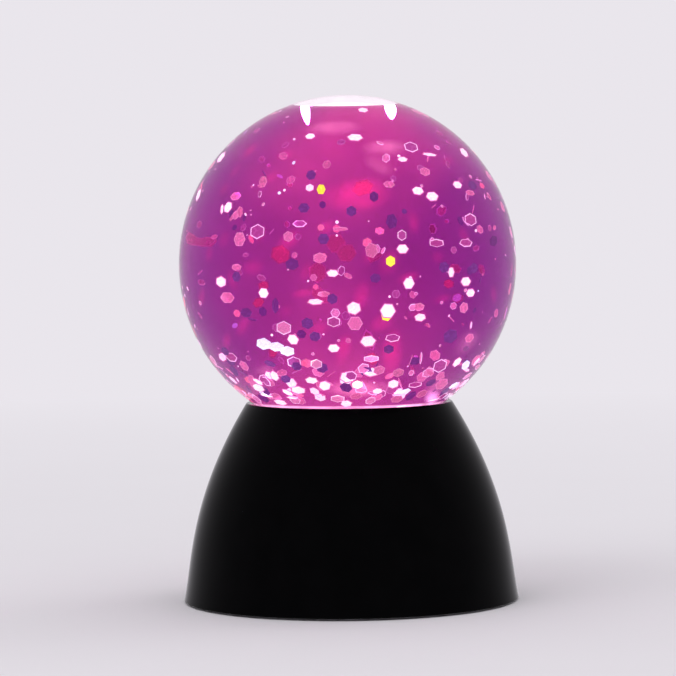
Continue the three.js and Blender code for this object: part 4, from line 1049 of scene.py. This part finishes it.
def seen_places(shown, rng):
    """Where flakes just inside the glass really are, and how they tilt.

    A flake that looks h high and w wide is tilted by acos(h/w) from the line of sight. One of
    full size is taken to look 3.6 mm wide through the ball.
    """
    shown = np.array(shown)
    middles = (shown[:, :2] - PICTURE_MIDDLE) * [1, -1] * MM / PICTURE_SCALE
    right, up = camera_axes()
    width, height = shown[:, 2] * MM / PICTURE_SCALE, shown[:, 3] * MM / PICTURE_SCALE
    # The depth is a first guess, and is worked out below from the tilt.
    depth = np.full(len(shown), 46.3 * MM)
    outwards, to_eye = sight(middles, depth)
    tilt = np.arccos(np.clip(np.minimum(width, height) / np.maximum(width, height), 0.2, 1))
    lean = np.where((width > height)[:, None], up, right) * rng.choice([-1, 1], len(depth))[:, None]
    normals = unit(np.cos(tilt)[:, None] * to_eye + np.sin(tilt)[:, None] * lean)
    sizes = np.clip(np.maximum(width, height) / (3.6 * MM), 0.85, 1.3)
    corner = 1.85 * MM
    for _ in range(2):
        steep = np.linalg.norm(np.cross(normals, outwards), axis=1)
        depth = FLAKE_DEPTH - sizes * corner * steep
        outwards, _ = sight(middles, depth)
    return GLOBE_MIDDLE + outwards * depth[:, None], normals, sizes


# Where soft patches of light show in the liquid, in millimetres: across and up from the globe's
# middle, long and short half width, and the turn of the long one from level in degrees
STRAY_HOT = [
    (-27.5, -1.2, 4, 2.8, 20), (-17, 6.5, 5, 3, 40), (-18, 31.6, 3.4, 2, 10), (-28.8, 32.9, 4, 1.6, 45),
    (2.7, 20, 11, 6, 5), (13, -26, 8.5, 3.6, 88), (-1.5, -25, 6, 3, 75), (12, 0.6, 4.6, 3.4, 60),
    (26, 2, 2.4, 2.2, 0), (27.2, -10.2, 3.6, 1.6, 15), (-8.2, -38.5, 3.2, 2, 0), (-43, -10, 3.4, 1.5, 75),
    (-40.5, 3, 3, 1.4, 80), (-12, -2, 3.6, 2, 65), (10, -17, 4.5, 3.2, 30), (-36, 22, 2.6, 1.4, 55),
    (29, 30, 2.6, 1.6, 30), (43, -9, 3, 1.4, 100), (-6, 10.5, 3.6, 2.4, 20),
    (-36, 7, 3, 1.8, 60), (-33.5, -5, 3.4, 1.6, 110), (-25, 8.5, 3.4, 2, 70), (-13, -8.5, 4, 1.6, 10),
    (-18, -14, 3, 2, 50), (-8.5, -19, 4, 2.6, 30), (4, -9, 5, 3, 80), (17.5, -4, 4, 2, 20),
    (20.5, -14.5, 3.6, 1.6, 0), (-30.5, -18, 4, 2, 60), (-35.5, -22.5, 3, 1.6, 70), (19, 12, 4, 2, 95),
    (34, 8, 3.4, 1.8, 120), (-22, 25, 3.4, 1.8, 35), (-33, 27, 3, 1.4, 50), (6, 3, 4.4, 2.4, 75),
]
STRAY_PALE = [
    (11, 33.5, 8, 3.4, 8), (-4, 39.5, 9, 3.4, 0), (35, -23, 5.6, 4, 35), (3.4, -36.5, 12, 3.6, 0),
    (-24, -31, 4.4, 2.2, 20), (25.5, -36, 4.6, 3.2, 30), (9, 28.5, 5.6, 3, 150),
]
# How far from the globe's middle they hang
STRAY_HOT_DEPTH, STRAY_PALE_DEPTH = 36 * MM, 43 * MM


def stray_surface(shown, depth):
    """Soft lumps in which light hangs, thinning out smoothly to a sharp edge.

    A point of a lump is a cos v cos u along it, b cos v sin u over it and c sin^3 v |sin v|
    towards the eye, where c is 0.45 a.
    """
    shown = np.array(shown, float)
    outwards, to_eye = sight(shown[:, :2] * MM, np.full(len(shown), depth))
    right, up = camera_axes()
    turn = np.radians(shown[:, 4:])
    long = unit(np.cos(turn) * right + np.sin(turn) * up)
    short = unit(np.cross(to_eye, long))
    long = np.cross(short, to_eye)
    u = np.arange(16) * TURN / 16
    v = np.linspace(-1.4, 1.4, 17)[:, None]
    middles, half_widths = GLOBE_MIDDLE + outwards * depth, shown[:, 2:4] * MM
    lumps = []
    for middle, along, over, to_us, (a, b) in zip(middles, long, short, to_eye, half_widths):
        flat = a * np.cos(u)[:, None] * along + b * np.sin(u)[:, None] * over
        thick = 0.45 * a * np.sin(v) ** 3 * np.abs(np.sin(v))
        rings = middle + np.cos(v)[..., None] * flat + thick[..., None] * to_us
        lumps.append(lofted(rings))
    return joined(*lumps)


def scattered(azimuth, rise, inwards, rng):
    """Flakes in these directions from the middle, as far out as their tilt lets them be."""
    count = len(azimuth)
    flat = np.sqrt(1 - rise**2)
    outwards = np.stack([flat * np.cos(azimuth), flat * np.sin(azimuth), rise], -1)
    normals = unit(outwards * rng.choice([0.4, 2], count)[:, None] + rng.normal(0, 0.5, (count, 3)))
    steep = np.linalg.norm(np.cross(normals, outwards), axis=1)
    depth = FLAKE_DEPTH - 2 * MM * steep - inwards
    return GLOBE_MIDDLE + outwards * depth[:, None], normals, rng.uniform(0.85, 1.05, count)


def loose_places(count, rng):
    """Flakes at the sides and the back, thicker towards the bottom, and some deep in the liquid.

    They are small in the ring at the back that the ball would enlarge.
    """
    azimuth = rng.uniform(-0.15, np.pi + 0.15, count)
    rise = np.clip(-1 + 2 * rng.random(count) ** 1.4, -0.8, 0.9)
    inwards = rng.choice([0, 0, 1], count) * rng.uniform(0, 5 * MM, count)
    at, normals, sizes = scattered(azimuth, rise, inwards, rng)
    behind = np.degrees(np.arccos(unit(at - GLOBE_MIDDLE) @ unit(GLOBE_MIDDLE - CAMERA_PLACE)))
    enlarged = (behind > LARGE_RING[0]) & (behind < LARGE_RING[1])
    return at, normals, np.where(enlarged, 0.5, 1) * sizes


def settled_places(count, rng):
    """Flakes all round, low in the globe and close to its glass."""
    rise = -0.55 - 0.28 * rng.random(count) ** 0.8
    return scattered(rng.uniform(0, TURN, count), rise, rng.uniform(0, 4 * MM, count), rng)


def speck_places(count, rng):
    """Specks of fine glitter, all over the inside of the glass."""
    rise = np.clip(-1 + 2 * rng.random(count) ** 1.2, -0.8, 0.92)
    at, normals, _ = scattered(rng.uniform(0, TURN, count), rise, rng.uniform(0, 9 * MM, count), rng)
    return at, normals, rng.uniform(0.12, 0.34, count)


def front_places(count, rng):
    """Small flakes in front, most of them dim, behind the ones that show clearly."""
    azimuth = rng.uniform(-np.pi, 0, count)
    rise = rng.uniform(-0.72, 0.85, count)
    at, normals, _ = scattered(azimuth, rise, rng.uniform(1, 13, count) * MM, rng)
    return at, normals, rng.uniform(0.42, 0.8, count)


class LAMP_OT_glitter(bpy.types.Operator):
    """Scatters the hexagonal glitter flakes in the liquid"""

    bl_idname = "lamp.glitter"
    bl_label = "Glitter"

    def execute(self, context):
        lamp = context.scene.glitter_lamp
        rng = np.random.default_rng(GLITTER_SEED)
        kinds = list(FLAKE_FINISHES)
        groups = {kind: [] for kind in kinds}
        for kind, shown in SHOWN_FLAKES.items():
            groups[kind].append(seen_places(shown, rng))
        for count, spots, shares in (
            (lamp.loose_flakes, loose_places, BEHIND_SHARES),
            (lamp.settled_flakes, settled_places, SETTLED_SHARES),
            (lamp.specks, speck_places, SPECK_SHARES),
            (lamp.dim_flakes, front_places, FRONT_SHARES),
        ):
            kind_of = rng.choice(kinds, count, p=shares)
            places = spots(count, rng)
            for kind in kinds:
                groups[kind].append(tuple(part[kind_of == kind] for part in places))
        marked = [name for name in frame["nodes"] if name.startswith("glitter_flake_")]
        at_nodes = np.array([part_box(name) for name in marked]).mean(1)
        groups["lit"].append((at_nodes, unit(at_nodes - GLOBE_MIDDLE), np.ones(len(marked))))
        for kind, parts in groups.items():
            at, facing, size = (np.concatenate(part) for part in zip(*parts))
            spins = rng.uniform(0, TURN / 6, len(at))
            surface, picked = flake_surface(at, facing, spins, size, lamp.flake_across, lamp.flake_thickness)
            replaced = marked if kind == "lit" else ()
            finishes = FLAKE_FINISHES[kind]
            put(f"glitter_{kind}", surface, "swirl", "glitter_foil", replaced, finishes, picked)
        return {"FINISHED"}


# Switch, feet and screws


def knob_surface():
    """The switch's knob: a slab with rounded ends and four ribs across its face.

    Slices go along x, at the share s of the knob's length. In each one the face stands out by
    ridge (1 - cos 8 pi s) / 2, and the slice is a rounded oblong in y and z. It shrinks in
    the last tenth of both halves by shrink (1 - sqrt(1 - t^2)), with t from 0 to 1.
    """
    low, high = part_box("switch_knob")
    slices, ridge, shrink = 49, 0.35 * MM, 0.25 * MM
    x = np.linspace(low.x, high.x, slices)
    s = (x - low.x) / (high.x - low.x)
    front = high.y - 0.02 * MM - ridge + ridge * (1 - np.cos(TURN * 4 * s)) / 2
    # 99.9 and not 100, so that rounding can't bring what the root is taken of below 0.
    less = shrink * (1 - np.sqrt(1 - np.clip(np.abs(s - 0.5) * 2 - 0.9, 0, 1) ** 2 * 99.9))
    base = np.full(slices, low.y)
    corners = np.stack([
        np.stack([base, low.z + less], -1), np.stack([front - less, low.z + less], -1),
        np.stack([front - less, high.z - less], -1), np.stack([base, high.z - less], -1)], 1)
    rings = np.stack([eased(ring, 0.3 * MM, 3, closed=True) for ring in corners])
    full = np.concatenate([np.broadcast_to(x[:, None, None], (*rings.shape[:2], 1)), rings], -1)
    return lofted(full)


def foot_surface(low, high):
    """A rubber foot: a round pad with an eased edge and a shallow dish in its underside."""
    middle, radius = (low + high) / 2, (high.x - low.x) / 2
    dish = low.z + 0.25 * MM
    outline = eased([
        [0, dish], [radius * 0.55, dish], [radius * 0.62, low.z],
        [radius, low.z], [radius, high.z], [0, high.z]], 0.4 * MM)
    return turned(outline, 64, (middle.x, middle.y))


def screw_surface(low, high):
    """A screw that points up, with a cross recess in its low domed head.

    The head's face is a square grid (u, v) drawn round: x = u sqrt(1 - v^2/2), y = v sqrt(1 -
    u^2/2). It rises with the square of its distance from the middle, and more in the cross.
    """
    middle, head = (low + high) / 2, (high.x - low.x) / 2
    # The grid's lines from the edge to the middle, in close pairs where the cross has its edges
    t = np.array([1, 0.92, 0.78, 0.66, 0.6, 0.56, 0.36, 0.2, 0.16, 0.05])
    t = np.concatenate([-t, t[::-1]])
    u, v = np.meshgrid(t, t)
    x, y = u * np.sqrt(1 - v**2 / 2), v * np.sqrt(1 - u**2 / 2)
    arm, side = np.maximum(np.abs(u), np.abs(v)), np.minimum(np.abs(u), np.abs(v))
    arm_length, half_arm, recess = 0.57, 0.17, 0.5 * MM
    cut = (arm < arm_length) & (side < half_arm)
    z = low.z + 0.22 * MM * (x**2 + y**2) + recess * cut
    face = np.stack([middle.x + x * head * 0.95, middle.y + y * head * 0.95, z], -1).reshape(-1, 3)
    n = len(t)
    along = np.arange(n - 1)
    edge = np.concatenate([along, along * n + n - 1, n * n - 1 - along, (n - 1 - along) * n])
    a = np.arctan2(face[edge, 1] - middle.y, face[edge, 0] - middle.x)
    top, shank, bevel = low.z + 0.9 * MM, 1.25 * MM, 0.05 * MM
    profile = np.array([
        [head, low.z + 0.36 * MM], [head, top - bevel], [head - bevel, top], [shank, top],
        [shank, high.z - 0.4 * MM], [0.9 * MM, high.z]])
    points, tables = lofted(swept(profile, a, middle))
    around = np.arange(len(a))
    skirt = np.stack([edge, np.roll(edge, -1), n * n + (around + 1) % len(a), n * n + around], -1)
    face_quads = grid_faces(n, n, loop_columns=False)[:, ::-1]
    return np.vstack([face, points]), [face_quads, skirt, tables[0] + n * n, tables[2] + n * n]


def grip_surface():
    """Five ribs across the battery door for a finger: bars with a half-round section.

    A section's points are (0.45 cos a, -0.5 sin a) mm; at the bar's ends they shrink to 0.3.
    """
    half_length, underside = 8, 1.25
    first_rib, rib_step, ribs = 24, 1.6, 5
    a = np.linspace(0, np.pi, 9)
    share = np.linspace(-1, 1, 15)[:, None]
    shrink = 0.3 + 0.7 * np.sqrt(1 - np.clip(np.abs(share) * 8 - 7, 0, 1) ** 2)
    bars = []
    for y in first_rib + rib_step * np.arange(ribs):
        x = np.broadcast_to(share * half_length, (len(share), len(a)))
        across = y + 0.45 * shrink * np.cos(a)
        down = underside - 0.5 * shrink * np.sin(a)
        bars.append(lofted(np.stack([x, across, down], -1)[:, ::-1] * MM))
    return joined(*bars)


class LAMP_OT_screws(bpy.types.Operator):
    """Builds the screws and the finger grip that show in the underside"""

    bl_idname = "lamp.screws"
    bl_label = "Screws and grip"

    def execute(self, context):
        put("door_grip", grip_surface(), "battery_door", "plastic_black")
        screws = {"door_screw": "battery_door"} | {f"cover_screw_{i}": "root" for i in range(1, 4)}
        for node, body in screws.items():
            put(f"{node}_cross", screw_surface(*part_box(node)), body, "steel", [node])
        return {"FINISHED"}


class LAMP_OT_switch(bpy.types.Operator):
    """Builds the ribbed knob of the slide switch"""

    bl_idname = "lamp.switch"
    bl_label = "Switch knob"

    def execute(self, context):
        put("knob", knob_surface(), "switch_knob", "plastic_black", ["switch_knob"])
        return {"FINISHED"}


class LAMP_OT_feet(bpy.types.Operator):
    """Builds the four rubber feet"""

    bl_idname = "lamp.feet"
    bl_label = "Feet"

    def execute(self, context):
        for i in range(1, 5):
            node = f"foot_pad_{i}"
            put(f"foot_{i}", foot_surface(*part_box(node)), "root", "rubber_black", [node])
        return {"FINISHED"}


# Studio

FLOOR_HALF = 6
# The distances between which the floor melts into the backdrop
MELT_START, MELT_END = 0.25, 0.9
WORLD_STRENGTH = 0.78
# Each soft light's name, place, width and power, and the place that all of them face
SOFTBOXES = [
    ("key_light", (-0.7, -0.7, 1.1), 0.8, 3.2),
    ("back_light", (0.9, 0.5, 0.8), 0.6, 1.6),
]
LIGHTS_FACE = np.array([0, 0, 0.07])


def add_camera():
    """The camera of the photo, with its near and far limits clear of the studio."""
    right, up = camera_axes()
    data = bpy.data.cameras.new("camera")
    data.lens, data.sensor_width = CAMERA_LENS, CAMERA_SENSOR
    data.clip_start, data.clip_end = 0.01, 50
    camera = bpy.data.objects.new("camera", data)
    bpy.context.scene.collection.objects.link(camera)
    matrix = np.eye(4)
    matrix[:3, 0], matrix[:3, 1], matrix[:3, 2] = right, up, np.cross(right, up)
    matrix[:3, 3] = CAMERA_PLACE
    camera.matrix_world = Matrix(matrix.tolist())
    bpy.context.scene.camera = camera


def add_softbox(name, place, size, power):
    """A square soft light that faces the lamp."""
    data = bpy.data.lights.new(name, "AREA")
    data.size, data.energy = size, power
    light = bpy.data.objects.new(name, data)
    light.location = place
    light.visible_glossy = light.visible_transmission = False
    way = LIGHTS_FACE - np.array(place)
    light.rotation_euler = Vector(way).to_track_quat("-Z", "Y").to_euler()
    bpy.context.scene.collection.objects.link(light)


def backdrop_share(tree):
    """1 for rays that see the backdrop as a picture: from the camera, or off gloss and glass."""
    path = tree.nodes.new("ShaderNodeLightPath").outputs
    return highest(tree, path["Is Camera Ray"], path["Is Glossy Ray"], path["Is Transmission Ray"])


def floor_finish(pale):
    """The floor's finish: matt, and farther off the plain colour of the backdrop.

    It can't be seen from below, and lets the rays through that light and mirror the lamp.
    """
    made = Finish("studio floor", Roughness=0.9)
    made.mottle(0.2, shade(pale, 0.99), shade(pale, 1.01))
    far = made.node("ShaderNodeVectorMath", {"Vector": made.place})
    far.operation = "LENGTH"
    melt = made.spread(far.outputs["Value"], 0, 1, MELT_START, MELT_END)
    plain = made.node("ShaderNodeEmission", Color=(*pale, 1))
    share = worked(made.tree, "MULTIPLY", melt, backdrop_share(made.tree))
    top = blended(made.tree, made.shader.outputs["BSDF"], plain.outputs["Emission"], share)
    under = made.node("ShaderNodeNewGeometry").outputs["Backfacing"]
    path = made.node("ShaderNodeLightPath").outputs
    open_to = highest(made.tree, under, path["Is Diffuse Ray"], path["Is Glossy Ray"])
    through = made.node("ShaderNodeBsdfTransparent").outputs["BSDF"]
    return made.shown_as("Surface", blended(made.tree, top, through, open_to))


def add_floor(pale):
    """A wide level floor at the height of the lamp's feet."""
    reach = np.linspace(-FLOOR_HALF, FLOOR_HALF, 25)
    x, y = np.meshgrid(reach, reach)
    points = np.stack([x, y, np.zeros_like(x)], -1).reshape(-1, 3)
    mesh = bpy.data.meshes.new("studio_floor")
    faces = grid_faces(len(reach), len(reach), loop_columns=False)
    mesh.from_pydata(points.tolist(), [], faces.tolist())
    mesh.materials.append(floor_finish(pale))
    floor = bpy.data.objects.new("studio_floor", mesh)
    bpy.context.scene.collection.objects.link(floor)


def add_world(pale):
    """White light from all sides, and the plain backdrop that is seen in its place."""
    world = bpy.data.worlds.new("studio")
    world.use_nodes = True
    tree = world.node_tree
    light = tree.nodes["Background"]
    light.inputs["Color"].default_value = (1, 1, 1, 1)
    light.inputs["Strength"].default_value = WORLD_STRENGTH
    shown = tree.nodes.new("ShaderNodeBackground")
    shown.inputs["Color"].default_value = (*pale, 1)
    lights = light.outputs["Background"], shown.outputs["Background"]
    tree.links.new(blended(tree, *lights, backdrop_share(tree)), tree.nodes["World Output"].inputs["Surface"])
    bpy.context.scene.world = world


class LAMP_OT_studio(bpy.types.Operator):
    """Sets up the pale floor, the soft light and the camera of the photo"""

    bl_idname = "lamp.studio"
    bl_label = "Studio"

    def execute(self, context):
        pale = context.scene.glitter_lamp.floor_colour
        add_floor(pale)
        add_world(pale)
        for softbox in SOFTBOXES:
            add_softbox(*softbox)
        add_camera()
        context.scene.view_settings.view_transform = "Standard"
        return {"FINISHED"}


class LAMP_PT_panel(bpy.types.Panel):
    """Lists the lamp's sizes and colours and the buttons that build it"""

    bl_idname = "LAMP_PT_panel"
    bl_label = "Glitter lamp"
    bl_space_type = "VIEW_3D"
    bl_region_type = "UI"
    bl_category = "Glitter lamp"

    def draw(self, context):
        for name in LampSettings.__annotations__:
            self.layout.prop(context.scene.glitter_lamp, name)
        for operator in OPERATORS:
            self.layout.operator(operator.bl_idname)


class NamedFinish(bpy.types.PropertyGroup):
    """The finish that was made for a slot; its name is the slot."""

    finish: bpy.props.StringProperty(name="Finish", description="Name of the material")


OPERATORS = [
    LAMP_OT_finishes, LAMP_OT_housing, LAMP_OT_globe, LAMP_OT_liquid, LAMP_OT_glitter,
    LAMP_OT_switch, LAMP_OT_screws, LAMP_OT_feet, LAMP_OT_studio,
]
CLASSES = [LampSettings, NamedFinish, *OPERATORS, LAMP_PT_panel]


def register():
    """Makes the classes known, and gives each scene its settings and list of finishes."""
    for made in CLASSES:
        bpy.utils.register_class(made)
    bpy.types.Scene.glitter_lamp = bpy.props.PointerProperty(type=LampSettings)
    bpy.types.Scene.glitter_lamp_finishes = bpy.props.CollectionProperty(type=NamedFinish)


def unregister():
    """Takes back what register does, in the opposite order."""
    del bpy.types.Scene.glitter_lamp_finishes
    del bpy.types.Scene.glitter_lamp
    for made in reversed(CLASSES):
        bpy.utils.unregister_class(made)


def main():
    """Builds the lamp and its studio."""
    register()
    for operator in OPERATORS:
        getattr(bpy.ops.lamp, operator.bl_idname.partition(".")[2])()


if __name__ == "__main__":
    main()
